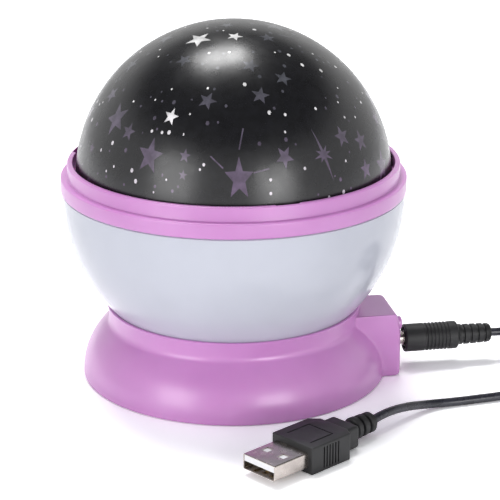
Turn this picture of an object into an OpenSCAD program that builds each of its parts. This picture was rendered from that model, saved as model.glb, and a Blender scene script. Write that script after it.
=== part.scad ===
// Star night light projector: a milky bowl with a black star dome turns on a bell-shaped base.
// Millimetres. The origin is on the turning axis at table level, +Z is up, and +X points
// straight out of the control box, along the power plug.

/* [Bowl] */
// Outer radius of the round bowl
bowl_r = 49.8; // [48.5:0.1:51]
// Wall thickness of the bowl
bowl_wall = 1.8; // [1.4:0.1:2.2]
// Outer radius of the bowl's flat floor
bowl_floor_r = 33.9; // [33.5:0.1:35]
// How deep the bowl's floor sits below the collar's rim
bowl_seat_depth = 2.9; // [2.5:0.1:3.2]
// Height of the rim band that the bezel ring grips
rim_band_h = 3.1; // [2.6:0.1:3.6]

/* [Bezel ring] */
// How far the ring's skirt stands proud of the bowl
ring_proud = 0.3; // [0.2:0.1:0.6]
// Height of the ring's skirt
skirt_h = 4.4; // [4:0.1:5]
// Height of the narrower lip above the skirt
lip_h = 4.1; // [3.6:0.1:5]
// Step from the skirt in to the lip
lip_step = 1.6; // [1.2:0.1:2]
// Wall thickness of the lip
lip_wall = 1.3; // [1.2:0.05:1.6]
// Thickness of the ledge that carries the dome
ledge_t = 1.4; // [1:0.1:1.8]

/* [Star dome] */
// Gap between the dome and the lip round it
dome_gap = 1; // [0.8:0.1:1.2]
// Wall thickness of the dome
dome_wall = 1.6; // [1.2:0.1:2]
// Height of the dome's seat above the centre of its sphere
dome_cut = 1.85; // [1:0.05:3]
// Number of drop-in keys round the dome
key_count = 3; // [2:1:4]
// Width of a key
key_w = 6.4; // [4:0.2:8]
// Height of a key above the seat
key_h = 3.3; // [2.4:0.1:3.6]
// Clearance between a key and its notch
key_clear = 0.3; // [0.2:0.05:0.5]

/* [Base shell] */
// Radius of the base at its widest
base_r = 45.2; // [44.5:0.1:46.5]
// Radius of the skirt's round belly
belly_r = 18.8; // [18:0.1:20]
// Height of the belly's centre
belly_z = 1.5; // [1:0.1:2]
// Radius of the hollow sweep under the collar
sweep_r = 7; // [6:0.1:8]
// Wall thickness of the base shell
base_wall = 2; // [1.7:0.1:2.2]
// Height of the shell's lower rim above the table
rim_z = 0.5; // [0.3:0.1:0.7]
// Gap between the bowl and the collar's rim
seam_gap = 0.45; // [0.35:0.05:0.6]
// Thickness of the collar at its rim
collar_rim_t = 0.6; // [0.5:0.05:0.9]

/* [Control box] */
// Width of the control box
box_w = 18.1; // [17.6:0.1:19]
// Sideways offset of the box from the middle
box_y = -7.6; // [-8:0.1:-7]
// How far the box stands out past the base
box_reach = 2.2; // [1.8:0.1:2.6]
// Drop from the collar's rim to the top of the box
box_drop = 3.15; // [2.9:0.05:3.4]
// Radius of the curve that leans the top of the face in
face_lean_r = 20.6; // [18:0.2:26]
// Rounding of the box's upright edges
box_round = 1.2; // [0.8:0.1:1.6]
// Wall thickness of the box
box_wall = 2; // [1.8:0.1:2.2]

/* [Buttons] */
// Radius of a button
button_r = 2; // [1.7:0.05:2.05]
// Distance between buttons
button_pitch = 4.8; // [4.6:0.1:5]
// Drop from the top of the box to the buttons' line
button_drop = 4.1; // [4:0.05:4.3]
// How far a button stands out of the face
button_proud = 1.7; // [1.4:0.1:2.2]
// Travel of a button
button_travel = 0.8; // [0.5:0.1:0.9]

/* [Power plug] */
// Radius of the plug's metal barrel
barrel_r = 1.75; // [1.6:0.05:1.9]
// Length of the plug's metal barrel
barrel_len = 9.5; // [9:0.1:10]
// Length of barrel left showing outside the box
barrel_showing = 3.1; // [2.6:0.1:3.4]
// Drop from the top of the box to the plug's axis
jack_drop = 11.1; // [11:0.05:11.4]
// Radius of the plug's moulded grip
grip_r = 4; // [3.6:0.1:4.3]
// Length of the plug's moulded grip
grip_len = 16.4; // [15:0.2:17]
// Number of grooves round the grip
grip_grooves = 7; // [5:1:8]
// Radius of the plug's narrow tail
tail_r = 3; // [2.7:0.1:3.2]
// Length of the plug's narrow tail
tail_len = 10.7; // [10:0.1:11]

/* [Drive] */
// Gear module, pitch diameter per tooth
gear_module = 1; // [0.98:0.01:1.02]
// Teeth on the ring gear under the bowl
gear_teeth = 44; // [43:1:45]
// Teeth on the motor pinion
pinion_teeth = 12; // [12:1:13]
// Pressure angle of the teeth
pressure_angle = 25; // [22:1:26]
// Total play between meshing teeth
backlash = 0.3; // [0.2:0.05:0.4]
// Thickness of the ring gear
gear_t = 2.2; // [1.8:0.1:2.3]
// Radius of the gear motor
motor_r = 8; // [7:0.1:8.2]
// Height of the gear motor
motor_h = 9.4; // [8.6:0.1:10]
// Radius of the motor shaft
shaft_r = 1.5; // [1.2:0.05:1.6]

/* [Lamp post] */
// Radius of the post where the bowl turns on it
post_r = 9; // [8.8:0.05:9.3]
// Running clearance between the post and the bowl
run_clear = 0.06; // [0.04:0.01:0.09]
// Radius of the slimmer upper post
mast_r = 7.2; // [6.8:0.1:7.6]
// Radius of the wire channel in the post
channel_r = 5.4; // [5:0.1:5.8]
// Drop from the bezel ring's ledge to the lamp board
board_drop = 6.4; // [5.5:0.1:8]
// Radius of one lamp
led_r = 2.5; // [2.3:0.1:2.6]
// Distance of the lamps from the axis
led_circle_r = 4.5; // [4.4:0.1:4.8]

/* [Battery bay] */
// Diameter of one battery cell
cell_d = 10.5; // [10.3:0.1:10.8]
// Length of the battery bay
bay_len = 50; // [49:0.5:51]
// Number of cells side by side
cell_count = 3; // [2:1:3]
// Sideways offset of the bay, clear of the motor
bay_y = -5; // [-6:0.2:-4.6]
// Wall thickness of the battery tray
tray_wall = 1.2; // [1:0.1:1.4]
// Thickness of the bottom cover and the battery door
cover_t = 2; // [1.8:0.1:2.2]
// Thickness of the rubber feet
foot_t = 0.9; // [0.8:0.05:1]
// Clearance round the battery door
door_clear = 0.3; // [0.25:0.05:0.5]
// Thickness of the mechanism deck
deck_t = 1.6; // [1.4:0.1:1.8]

/* [USB plug] */
// Direction of the USB plug on the table
usb_angle = 33.7; // [30:0.1:36]
// Width of the metal shell
usb_shell_w = 12; // [11.9:0.05:12.1]
// Height of the metal shell
usb_shell_h = 4.5; // [4.4:0.05:4.6]
// Length of metal shell outside the moulding
usb_shell_len = 12.4; // [11.8:0.1:13]
// Width of the moulded body
usb_body_w = 15.2; // [14.6:0.1:16]
// Height of the moulded body
usb_body_h = 7.8; // [7.4:0.1:8.4]
// Length of the wide part of the moulded body
usb_body_len = 14.7; // [14:0.1:16]

/* [Lead] */
// Diameter of the cable
cable_d = 2.5; // [2.4:0.05:2.6]

/* [Hidden] */
$fn = 96;

mould_pink = "#CD91D2";
milk_white = "#E6E8F2";
dome_black = "#1C1C20";
nylon_white = "#EDEBE4";
board_green = "#2E6B45";
steel_grey = "#B9BCC0";
cable_black = "#2B2B2E";
overlap = 0.5;
free_fit = 0.05;

// Heights of the stack, from the table up
cover_z = foot_t;
bay_z = cover_z + cover_t;
bay_h = cell_d + 0.2;
deck_z = bay_z + bay_h + tray_wall;
deck_top = deck_z + deck_t;
flange_t = 1.1;
flange_top = deck_top + flange_t;
washer_t = 0.5;
hub_z = flange_top + washer_t;
hub_drop = 1.8;
floor_z = hub_z + hub_drop;
floor_t = 1.8;
floor_top = floor_z + floor_t;
collar_h = floor_z + bowl_seat_depth;

// Head
bowl_z = floor_z + sqrt(pow(bowl_r, 2) - pow(bowl_floor_r, 2));
ring_z = bowl_z + 0.6;
rim_top = ring_z + rim_band_h;
seat_z = rim_top + ledge_t;
skirt_top = ring_z + skirt_h;
lip_top = skirt_top + lip_h;
ring_r = bowl_r + ring_proud;
lip_r = ring_r - lip_step;
lip_in_r = lip_r - lip_wall;
dome_r = lip_in_r - dome_gap;
dome_z = seat_z - dome_cut;
ledge_in_r = dome_r - dome_wall - 0.8;
rim_out_r = bowl_r - 1.4;
rim_in_r = rim_out_r - bowl_wall;
key_out_r = lip_in_r + 0.55;
key_first = -82;

// Base outline
seam_r = sqrt(pow(bowl_r, 2) - pow(bowl_z - collar_h, 2)) + seam_gap;
collar_r = seam_r + collar_rim_t;
belly_x = base_r - belly_r;
sweep_x = collar_r + sweep_r;
sweep_z = belly_z + sqrt(pow(belly_r + sweep_r, 2) - pow(sweep_x - belly_x, 2));

// Control box
face_x = base_r + box_reach;
box_top = collar_h - box_drop;
lean_z = box_top - 7.5;
cavity_x = face_x - box_wall - 0.4;
cavity_w = box_w - 2 * box_wall;
button_z = box_top - button_drop;
deck_r = collar_r - base_wall + 0.3;
base_cover_r = base_r - base_wall - 0.5;
jack_z = box_top - jack_drop;
board_x = face_x - 11.2;
board_t = 1.2;
switch_x = board_x + board_t;
switch_depth = 4.2;
switch_h = 4;
switch_w = cavity_w - 2 * button_pitch - 0.3;
jack_body_w = 7.8;
jack_body_h = 7.4;
jack_mouth_r = 3.4;
key_plate_t = 1;
key_plate_w = switch_w - 0.4;
key_plate_gap = 0.2;
stem_r = 0.9;

// Drive
gear_pitch_r = gear_module * gear_teeth / 2;
pinion_pitch_r = gear_module * pinion_teeth / 2;
drive_r = gear_pitch_r + pinion_pitch_r;
gear_bore_r = 14;
gear_z = floor_z - gear_t;
gear_screw_r = 17.5;
pinion_z = deck_top + 0.5;
pinion_top = floor_z - 0.4;
motor_ear_r = motor_r + 2.8;
motor_ear_t = 1;
motor_boss_r = 3;

// Lamp post
flange_r = 13;
board_z = seat_z - board_drop;
lamp_board_t = 1.2;
hub_r = 12.6;
clip_z = floor_top + 0.25;
clip_t = 0.7;
clip_groove_r = post_r - 0.8;
post_screw_r = 11;

// Battery bay
bay_w = cell_count * (cell_d + 0.7);
door_half_x = bay_len / 2;
hinge_y = bay_y + bay_w / 2;
latch_y = bay_y - bay_w / 2;
hinge_axis_y = hinge_y - cover_t / 2;
tab_w = 5;
tab_x = 15;
tab_reach = 1.5;
tab_t = 1.1;
tab_lift = 0.2;
tab_swing_r = norm([tab_reach + cover_t / 2, cover_t / 2 + tab_lift + tab_t]);
tongue_w = 9;
tongue_reach = 6;
door_screw_y = latch_y - 3.5;

// Screws, feet and bosses: angles are about the axis
cover_screw_r = base_r - 7;
cover_screw_angles = [35, 145, 235, 305];
deck_screw_r = deck_r - 2.7;
deck_screw_angles = [25, 155, 250, 290];
foot_r = 4.5;
foot_circle_r = base_r - 8.2;
foot_angles = [60, 120, 200, 340];
post_screw_angles = [30, 150, 270];
boss_r = 3;
boss_top = deck_z - 1.2;
boss_reach = 8;
rib_t = 2;
lug_t = 2.4;
screw_r = 1.1;
screw_head_r = 2.3;
screw_head_t = 1.1;

// USB plug, in its own frame: the mouth at the origin, the cable end along +X
usb_place = [-7.6, -80.5, 0];
usb_mid_z = usb_body_h / 2;
usb_neck_len = 6.6;
usb_neck_w = 10;
usb_neck_drop = 0.6;
usb_boot_r = 3.2;
usb_boot_len = 10;
usb_end = usb_shell_len + usb_body_len + usb_neck_len + usb_boot_len;
usb_wall = 0.35;
usb_corner = 0.6;
usb_tongue_t = 1.8;

// Power plug and the cable's route
plug_x = face_x + barrel_showing;
plug_end_x = plug_x + grip_len + tail_len;
cable_r = cable_d / 2;
coil_place = [100, -15];
coil_mean_r = 14;
coil_layers = 3;
coil_in_r = coil_mean_r - coil_layers * cable_r;
coil_out_r = coil_mean_r + coil_layers * cable_r;
coil_h = coil_layers * cable_d;
coil_top_z = coil_h - cable_r;
lead_in_route = [[plug_end_x, box_y, jack_z], [80.5, box_y, 8.4], [83.5, -7, 8.2],
    [86.5, -5.2, 7.6], [89.2, -2.8, 6.8], [92.0, -0.6, coil_top_z], [95.4, 0.9, coil_top_z]];
tail_route = [[100, -31.5, cable_r], [95, -32, cable_r], [89.5, -33.6, cable_r],
    [83.5, -36, cable_r], [77.5, -38.2, cable_r], [71, -39.6, cable_r], [65, -40.4, cable_r],
    [60, -41, cable_r], [55.5, -41.5, 1.3], [50.8, -42.4, 1.6], [46.8, -44, 2.2],
    [43.4, -46, 3], [40, -48.3, 3.7], [36.2, -51.1, 4.3], [32.4, -53.8, 4.4],
    usb_point(usb_end)];

// Place of a point on the USB plug's axis, in the part's frame
function usb_point(x) = [usb_place[0] + x * cos(usb_angle), usb_place[1] + x * sin(usb_angle),
    usb_mid_z];

// Points of an arc, from one angle to another
function arc(centre, r, from, to, steps) =
    [for (i = [0:steps]) let (a = from + (to - from) * i / steps)
        [centre[0] + r * cos(a), centre[1] + r * sin(a)]];

// Involute tooth: half angle of a tooth at radius r
function involute(a) = tan(a) * 180 / PI - a;
function half_tooth(teeth, r) =
    let (pitch_r = gear_module * teeth / 2,
        base_circle_r = pitch_r * cos(pressure_angle),
        at_r = r > base_circle_r ? acos(base_circle_r / r) : 0,
        thickness = gear_module * PI / 2 - backlash / 2)
    thickness / 2 / pitch_r * 180 / PI + involute(pressure_angle) - involute(at_r);
function polar(r, a) = [r * cos(a), r * sin(a)];
function tooth(teeth, middle, root_r, tip_r, steps) =
    let (start_r = max(root_r, gear_module * teeth / 2 * cos(pressure_angle)),
        radii = [for (i = [0:steps]) start_r + (tip_r - start_r) * i / steps])
    concat([polar(root_r, middle - half_tooth(teeth, start_r))],
        [for (r = radii) polar(r, middle - half_tooth(teeth, r))],
        [for (i = [steps:-1:0]) polar(radii[i], middle + half_tooth(teeth, radii[i]))],
        [polar(root_r, middle + half_tooth(teeth, start_r))]);
function gear_outline(teeth, first) =
    let (pitch_r = gear_module * teeth / 2)
    [for (k = [0:teeth - 1])
        each tooth(teeth, first + 360 * k / teeth, pitch_r - 1.15 * gear_module,
            pitch_r + 0.9 * gear_module, 4)];

// Tube swept along a route: a ring of points at each stop, turned to face along the route
function unit(v) = v / norm(v);
function route_dir(p, i) = unit(p[min(i + 1, len(p) - 1)] - p[max(i - 1, 0)]);
function ring_at(centre, dir, r, sides, side_ref) =
    let (across = unit(cross(side_ref, dir)), up = cross(dir, across))
    [for (k = [0:sides - 1])
        centre + r * (cos(360 * k / sides) * across + sin(360 * k / sides) * up)];
module tube(route, r, sides, side_ref = [0, 0, 1]) {
    stops = len(route);
    points = [for (i = [0:stops - 1]) each ring_at(route[i], route_dir(route, i), r, sides, side_ref)];
    walls = [for (i = [0:stops - 2], k = [0:sides - 1])
        let (a = i * sides + k, b = i * sides + (k + 1) % sides)
        each [[a, b, b + sides], [a, b + sides, a + sides]]];
    near_end = [for (k = [1:sides - 2]) [0, k + 1, k]];
    far_end = [for (k = [1:sides - 2]) let (f = (stops - 1) * sides) [f, f + k, f + k + 1]];
    polyhedron(points, concat(near_end, walls, far_end));
}

// Cylinder between two heights
module rod(r, low, high) {
    translate([0, 0, low]) cylinder(r = r, h = high - low);
}

// Copies of the children at given angles on a circle
module at_angles(angles, r) {
    for (a = angles) rotate([0, 0, a]) translate([r, 0, 0]) children();
}

// Rectangle with round corners, centred
module round_rect(w, d, r) {
    square([w - 2 * r, d], center = true);
    square([w, d - 2 * r], center = true);
    for (x = [-1, 1], y = [-1, 1]) translate([x * (w / 2 - r), y * (d / 2 - r)]) circle(r);
}

// Pan-head screw standing head down, its head's lower face at z = 0
module pan_screw(shank_len) {
    rod(screw_head_r, 0, screw_head_t);
    rod(screw_r - free_fit, screw_head_t - overlap, screw_head_t + shank_len);
}

// Countersunk screw, its flat head at z = 0 and its shank upwards
module flush_screw(head_r, shank_r, shank_len) {
    cylinder(r1 = head_r, r2 = shank_r, h = head_r - shank_r);
    rod(shank_r, 0, shank_len);
}

// Half section of the base's outer form, drawn in by an inset, between two heights
module base_section(inset, low, high) {
    lean = (sweep_z - belly_z) / (belly_r + sweep_r);
    join_z = belly_z + (belly_r - inset) * lean;
    translate([0, low]) square([collar_r - inset, high - low]);
    intersection() {
        translate([belly_x, belly_z]) circle(belly_r - inset);
        translate([belly_x, low]) square([belly_r + 5, join_z - low]);
    }
    difference() {
        polygon([[0, belly_z], [belly_x, belly_z], [sweep_x, sweep_z], [0, sweep_z]]);
        translate([sweep_x, sweep_z]) circle(sweep_r + inset);
    }
}

// Outer form of the control box, drawn in by an inset
module box_block(inset, back, low, high) {
    depth = 2 * (face_x - inset - back);
    lean_centre = face_x - inset - face_lean_r;
    intersection() {
        translate([back, box_y, low]) linear_extrude(high - low)
            round_rect(depth, box_w - 2 * inset, box_round);
        translate([0, box_y + box_w, 0]) rotate([90, 0, 0]) linear_extrude(2 * box_w) {
            translate([back, low]) square([face_x - inset - back, lean_z - low]);
            intersection() {
                translate([lean_centre, lean_z]) circle(face_lean_r);
                translate([back, low]) square([face_x - back, high - low]);
            }
        }
    }
}

module base_shell() {
    color(mould_pink) difference() {
        union() {
            rotate_extrude() difference() {
                base_section(0, rim_z, collar_h);
                base_section(base_wall, rim_z - 1, collar_h + 1);
                polygon([[0, collar_h - 2.2], [collar_r - base_wall - overlap, collar_h - 2.2],
                    [seam_r, collar_h], [seam_r, collar_h + 1], [0, collar_h + 1]]);
            }
            difference() {
                box_block(0, board_x - 3.2, rim_z, box_top);
                rotate_extrude() base_section(base_wall / 2, rim_z - 1, collar_h + 1);
            }
            cover_bosses();
            deck_lugs();
        }
        box_cavity();
        button_bores();
        translate([cavity_x - 1, box_y, jack_z]) rotate([0, 90, 0])
            cylinder(r = jack_mouth_r + 0.1, h = 5);
        at_angles(cover_screw_angles, cover_screw_r) rod(screw_r, bay_z - 1, bay_z + 8);
        at_angles(deck_screw_angles, deck_screw_r) rod(screw_r, deck_top - 1, deck_top + 2);
    }
}

module box_cavity() {
    back = board_x - 2.2;
    translate([back, box_y - cavity_w / 2, rim_z - 1])
        cube([cavity_x - back, cavity_w, box_top - box_wall - rim_z + 1]);
}

module button_bores() {
    for (i = [0:2]) translate([cavity_x - 1, button_y(i), button_z]) rotate([0, 90, 0])
        cylinder(r = button_r + run_clear, h = 5);
}

function button_y(i) = box_y + (i - 1) * button_pitch;

module cover_bosses() {
    intersection() {
        at_angles(cover_screw_angles, cover_screw_r) {
            rod(boss_r, bay_z, boss_top);
            translate([0, -rib_t / 2, bay_z]) cube([boss_reach, rib_t, boss_top - bay_z]);
        }
        rotate_extrude() base_section(base_wall / 2, rim_z, collar_h);
    }
}

module deck_lugs() {
    intersection() {
        at_angles(deck_screw_angles, deck_screw_r) {
            rod(boss_r, deck_top, deck_top + lug_t);
            translate([0, -boss_r, deck_top]) cube([boss_reach, 2 * boss_r, lug_t]);
        }
        rotate_extrude() base_section(base_wall / 2, rim_z, collar_h);
    }
}

module bottom_cover() {
    color(mould_pink) difference() {
        union() {
            rod(base_cover_r, cover_z, bay_z);
            translate([belly_x, box_y - cavity_w / 2 + door_clear, cover_z])
                cube([cavity_x - door_clear - belly_x, cavity_w - 2 * door_clear, cover_t]);
            latch_shelf();
        }
        translate([-door_half_x - door_clear, latch_y - door_clear, cover_z - 1])
            cube([bay_len + 2 * door_clear, bay_w + 2 * door_clear, cover_t + 2]);
        translate([-tongue_w / 2 - door_clear, latch_y - tongue_reach - door_clear, cover_z - 1])
            cube([tongue_w + 2 * door_clear, tongue_reach + 1, cover_t / 2 + 1 + door_clear]);
        translate([0, door_screw_y, cover_z]) rod(screw_r + 0.3, 0, 8);
        at_angles(cover_screw_angles, cover_screw_r) {
            rod(screw_head_r + 0.3, cover_z - 1, cover_z + screw_head_t);
            rod(screw_r, cover_z, bay_z + 1);
        }
    }
}

// Thick pad over the door's tongue, which its screw enters
module latch_shelf() {
    translate([-tongue_w / 2 - 1.5, latch_y - tongue_reach - 1.5, bay_z - overlap])
        cube([tongue_w + 3, tongue_reach + 1.4 - tray_wall, 3 + overlap]);
}

module battery_tray() {
    low = bay_z;
    color(nylon_white) difference() {
        translate([0, bay_y, low]) linear_extrude(deck_z - low)
            round_rect(bay_len + 2 * tray_wall, bay_w + 2 * tray_wall, 1.5);
        translate([-bay_len / 2, latch_y, low - 1]) cube([bay_len, bay_w, bay_h + 1]);
        for (x = [-tab_x, tab_x])
            translate([x - tab_w / 2 - 0.5, hinge_axis_y, cover_z + cover_t / 2])
                cube([tab_w + 1, cover_t / 2 + tray_wall + 1, tab_swing_r + door_clear]);
    }
}

// Sprung steel strips at the bay's two ends
module battery_contacts() {
    color(steel_grey) for (side = [-1, 1], i = [0:cell_count - 1])
        translate([side * (bay_len / 2 - 0.2), cell_y(i), bay_z + bay_h / 2])
            cube([0.4, cell_d - 2, bay_h - 2], center = true);
}

function cell_y(i) = latch_y + bay_w / cell_count * (i + 0.5);

// Conical coil springs that press the cells
module battery_springs() {
    turns = 3.5;
    steps = 42;
    wire_r = 0.3;
    color(steel_grey) for (i = [0:cell_count - 1])
        tube([for (s = [0:steps]) let (a = 360 * turns * s / steps, r = 3.6 - 2 * s / steps)
            [bay_len / 2 - 0.4 - wire_r - 3.6 * s / steps, cell_y(i) + r * cos(a),
                bay_z + bay_h / 2 + r * sin(a)]], wire_r, 5, [1, 0, 0]);
}

module rubber_feet() {
    color(cable_black) at_angles(foot_angles, foot_circle_r) rod(foot_r, 0, foot_t);
}

module cover_screws() {
    color(steel_grey) at_angles(cover_screw_angles, cover_screw_r)
        translate([0, 0, cover_z]) pan_screw(7);
}

module mechanism_deck() {
    color(nylon_white) difference() {
        rod(deck_r, deck_z, deck_top);
        rod(channel_r, deck_z - 1, deck_top + 1);
        translate([0, drive_r, 0]) rod(motor_boss_r + 0.2, deck_z - 1, deck_top + 1);
        at_angles(deck_screw_angles, deck_screw_r) rod(screw_r, deck_z - 1, deck_top + 1);
        at_angles(post_screw_angles, post_screw_r) rod(screw_r - 0.2, deck_z - 1, deck_top + 1);
        for (x = [-motor_ear_r, motor_ear_r]) translate([x, drive_r, 0])
            rod(screw_r, deck_z - 1, deck_top + 1);
        translate([board_x - 0.8, box_y - cavity_w / 2, deck_z - 1])
            cube([deck_r, cavity_w, deck_t + 2]);
    }
}

module deck_screws() {
    color(steel_grey) at_angles(deck_screw_angles, deck_screw_r)
        translate([0, 0, deck_z - screw_head_t]) pan_screw(deck_t + lug_t - 0.6);
}

module gear_motor() {
    low = deck_z - motor_h;
    color(steel_grey) translate([0, drive_r, 0]) difference() {
        union() {
            rod(motor_r, low, deck_z);
            rod(motor_r - 3, low - 1, low + overlap);
            rod(motor_boss_r, deck_z - overlap, deck_top - 0.2);
            translate([0, 0, deck_z - motor_ear_t]) linear_extrude(motor_ear_t)
                round_rect(2 * motor_ear_r + 5, 5, 2);
        }
        rod(shaft_r + run_clear, low + 2, deck_top + 1);
        for (x = [-motor_ear_r, motor_ear_r]) translate([x, 0, 0])
            rod(screw_r, deck_z - motor_ear_t - 1, deck_z + 1);
    }
}

module motor_screws() {
    color(steel_grey) for (x = [-motor_ear_r, motor_ear_r])
        translate([x, drive_r, deck_z - motor_ear_t - screw_head_t])
            pan_screw(motor_ear_t + deck_t - 0.2);
}

module lamp_post() {
    color(nylon_white) difference() {
        union() {
            rod(flange_r, deck_top, flange_top);
            rod(post_r, deck_top, clip_z + clip_t + 0.8);
            translate([0, 0, clip_z + clip_t + 0.8])
                cylinder(r1 = post_r, r2 = mast_r, h = 3);
            rod(mast_r, clip_z + clip_t, board_z);
            rod(post_r, board_z - 1.6, board_z);
        }
        rod(channel_r, deck_top - 1, board_z + 1);
        difference() {
            rod(post_r + 1, clip_z - 0.05, clip_z + clip_t + 0.05);
            rod(clip_groove_r, clip_z - 1, clip_z + clip_t + 1);
        }
        at_angles(post_screw_angles, post_screw_r) translate([0, 0, flange_top]) mirror([0, 0, 1])
            flush_screw(1.7 + free_fit, 0.8 + free_fit, 3);
    }
}

module post_screws() {
    color(steel_grey) at_angles(post_screw_angles, post_screw_r)
        translate([0, 0, flange_top]) mirror([0, 0, 1]) flush_screw(1.7, 0.8, flange_t + deck_t);
}

module glide_washer() {
    color("#F4F4F0") difference() {
        rod(hub_r, flange_top, hub_z);
        rod(post_r + 0.1, flange_top - 1, hub_z + 1);
    }
}

// Snap ring in the post's groove, open on one side
module retaining_clip() {
    color(steel_grey) translate([0, 0, clip_z]) rotate([0, 0, 25]) rotate_extrude(angle = 310)
        translate([clip_groove_r + free_fit, 0]) square([2.8, clip_t]);
}

module lamp_board() {
    color(board_green) rod(post_r, board_z, board_z + lamp_board_t);
}

module lamp_leds() {
    for (k = [0:3]) color(["#F6F2D8", "#E05A50", "#5AB06A", "#5A7BE0"][k])
        rotate([0, 0, 45 + 90 * k]) translate([led_circle_r, 0, board_z + lamp_board_t]) {
            rod(led_r + 0.4, 0, 1);
            rod(led_r, 0, 6);
            translate([0, 0, 6]) difference() {
                sphere(led_r);
                translate([0, 0, -led_r - 1]) cube(2 * led_r + 2, center = true);
            }
        }
}

module control_board() {
    color(board_green) translate([board_x, box_y - cavity_w / 2 + 0.3, bay_z + 0.3])
        cube([board_t, cavity_w - 0.6, box_top - box_wall - bay_z - 0.6]);
}

module tact_switches() {
    color(cable_black) difference() {
        for (i = [0:2])
            translate([switch_x, button_y(i) - switch_w / 2, button_z - switch_h / 2])
                cube([switch_depth, switch_w, switch_h]);
        for (i = [0:2]) translate([switch_x + 1, button_y(i), button_z])
            rotate([0, 90, 0]) cylinder(r = stem_r + run_clear, h = switch_depth);
    }
}

module dc_jack() {
    mouth_x = face_x - 0.4;
    pin_r = 0.6;
    color(cable_black) difference() {
        union() {
            translate([switch_x, box_y - jack_body_w / 2, jack_z - jack_body_h / 2])
                cube([cavity_x - switch_x, jack_body_w, jack_body_h]);
            translate([cavity_x - overlap, box_y, jack_z]) rotate([0, 90, 0])
                cylinder(r = jack_mouth_r, h = mouth_x - cavity_x + overlap);
        }
        difference() {
            translate([switch_x + 1.4, box_y, jack_z]) rotate([0, 90, 0])
                cylinder(r = barrel_r + run_clear, h = mouth_x - switch_x);
            translate([switch_x, box_y, jack_z]) rotate([0, 90, 0])
                cylinder(r = pin_r, h = cavity_x - switch_x);
        }
    }
}

module bowl() {
    color(milk_white) difference() {
        union() {
            rotate_extrude() {
                difference() {
                    intersection() {
                        translate([0, bowl_z]) circle(bowl_r);
                        translate([0, floor_z]) square([bowl_r + 1, ring_z - floor_z]);
                    }
                    intersection() {
                        translate([0, bowl_z]) circle(bowl_r - bowl_wall);
                        translate([0, floor_top]) square([bowl_r + 1, ring_z]);
                    }
                }
                polygon([[rim_in_r, ring_z - 0.8], [rim_out_r, ring_z - 2.6],
                    [rim_out_r, rim_top], [rim_in_r, rim_top]]);
            }
            rod(hub_r, hub_z, floor_top);
            at_angles(post_screw_angles, gear_screw_r) rod(2.6, floor_top - overlap, floor_top + 2);
        }
        rod(post_r + run_clear, hub_z - 1, floor_top + 1);
        at_angles(post_screw_angles, gear_screw_r) rod(1, floor_z - 1, floor_top + 1.4);
    }
}

module ring_gear() {
    color(nylon_white) difference() {
        translate([0, 0, gear_z]) linear_extrude(gear_t) polygon(gear_outline(gear_teeth, 90));
        rod(gear_bore_r, gear_z - 1, floor_z + 1);
        at_angles(post_screw_angles, gear_screw_r) translate([0, 0, gear_z])
            flush_screw(2 + free_fit, 0.9 + free_fit, gear_t + 1);
    }
}

module gear_screws() {
    color(steel_grey) at_angles(post_screw_angles, gear_screw_r) translate([0, 0, gear_z])
        flush_screw(2, 0.9, gear_t + floor_t + 1);
}

module bezel_ring() {
    edge = 0.5;
    color(mould_pink) difference() {
        rotate_extrude() polygon(concat(
            [[rim_out_r + 0.2, ring_z]],
            arc([ring_r - edge, ring_z + edge], edge, -90, 0, 4),
            arc([ring_r - edge, skirt_top - edge], edge, 0, 80, 4),
            [[lip_r + 0.1, skirt_top]],
            arc([lip_r - edge, lip_top - edge], edge, 0, 90, 4),
            arc([lip_in_r + 0.3, lip_top - 0.3], 0.3, 90, 180, 3),
            [[lip_in_r, seat_z], [ledge_in_r, seat_z], [ledge_in_r, rim_top],
                [rim_out_r + 0.2, rim_top]]));
        at_keys() translate([dome_r - 1, -key_w / 2 - key_clear, seat_z])
            cube([key_out_r + 0.2 - dome_r + 1, key_w + 2 * key_clear, lip_h + 5]);
    }
}

module at_keys() {
    for (k = [0:key_count - 1]) rotate([0, 0, key_first + 360 * k / key_count]) children();
}

module star_dome() {
    color(dome_black) {
        rotate_extrude() intersection() {
            difference() {
                translate([0, dome_z]) circle(dome_r);
                translate([0, dome_z]) circle(dome_r - dome_wall);
            }
            translate([0, seat_z]) square([dome_r + 1, dome_r + 1]);
        }
        at_keys() intersection() {
            difference() {
                rod(key_out_r, seat_z, seat_z + key_h);
                rod(dome_r - dome_wall / 2, seat_z - 1, seat_z + key_h + 1);
            }
            translate([0, -key_w / 2, seat_z]) cube([dome_r + 5, key_w, key_h]);
        }
    }
}

module motor_pinion() {
    color(nylon_white) translate([0, drive_r, 0]) {
        translate([0, 0, pinion_z]) linear_extrude(pinion_top - pinion_z)
            polygon(gear_outline(pinion_teeth, -90 + 180 / pinion_teeth));
        rod(shaft_r, deck_z - motor_h + 2.5, pinion_z + overlap);
    }
}

// One push button: a round cap, a plate that stops it behind the face, and a stem
module push_button(i) {
    plate_x = cavity_x - key_plate_gap - key_plate_t;
    tip_x = face_x + button_proud - 0.3;
    translate([0, button_y(i), button_z]) {
        rotate([0, 90, 0]) rod(button_r, plate_x, tip_x - 0.6);
        translate([tip_x - 0.6, 0, 0]) rotate([0, 90, 0])
            cylinder(r1 = button_r, r2 = button_r - 0.6, h = 0.6);
        translate([plate_x, -key_plate_w / 2, -2.6]) cube([key_plate_t, key_plate_w, 4.4]);
        rotate([0, 90, 0]) rod(stem_r, switch_x + 2.2, plate_x + overlap);
    }
}

module light_button() {
    color(mould_pink) push_button(0);
}

module colour_button() {
    color(mould_pink) push_button(1);
}

module spin_button() {
    color(mould_pink) push_button(2);
}

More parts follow.
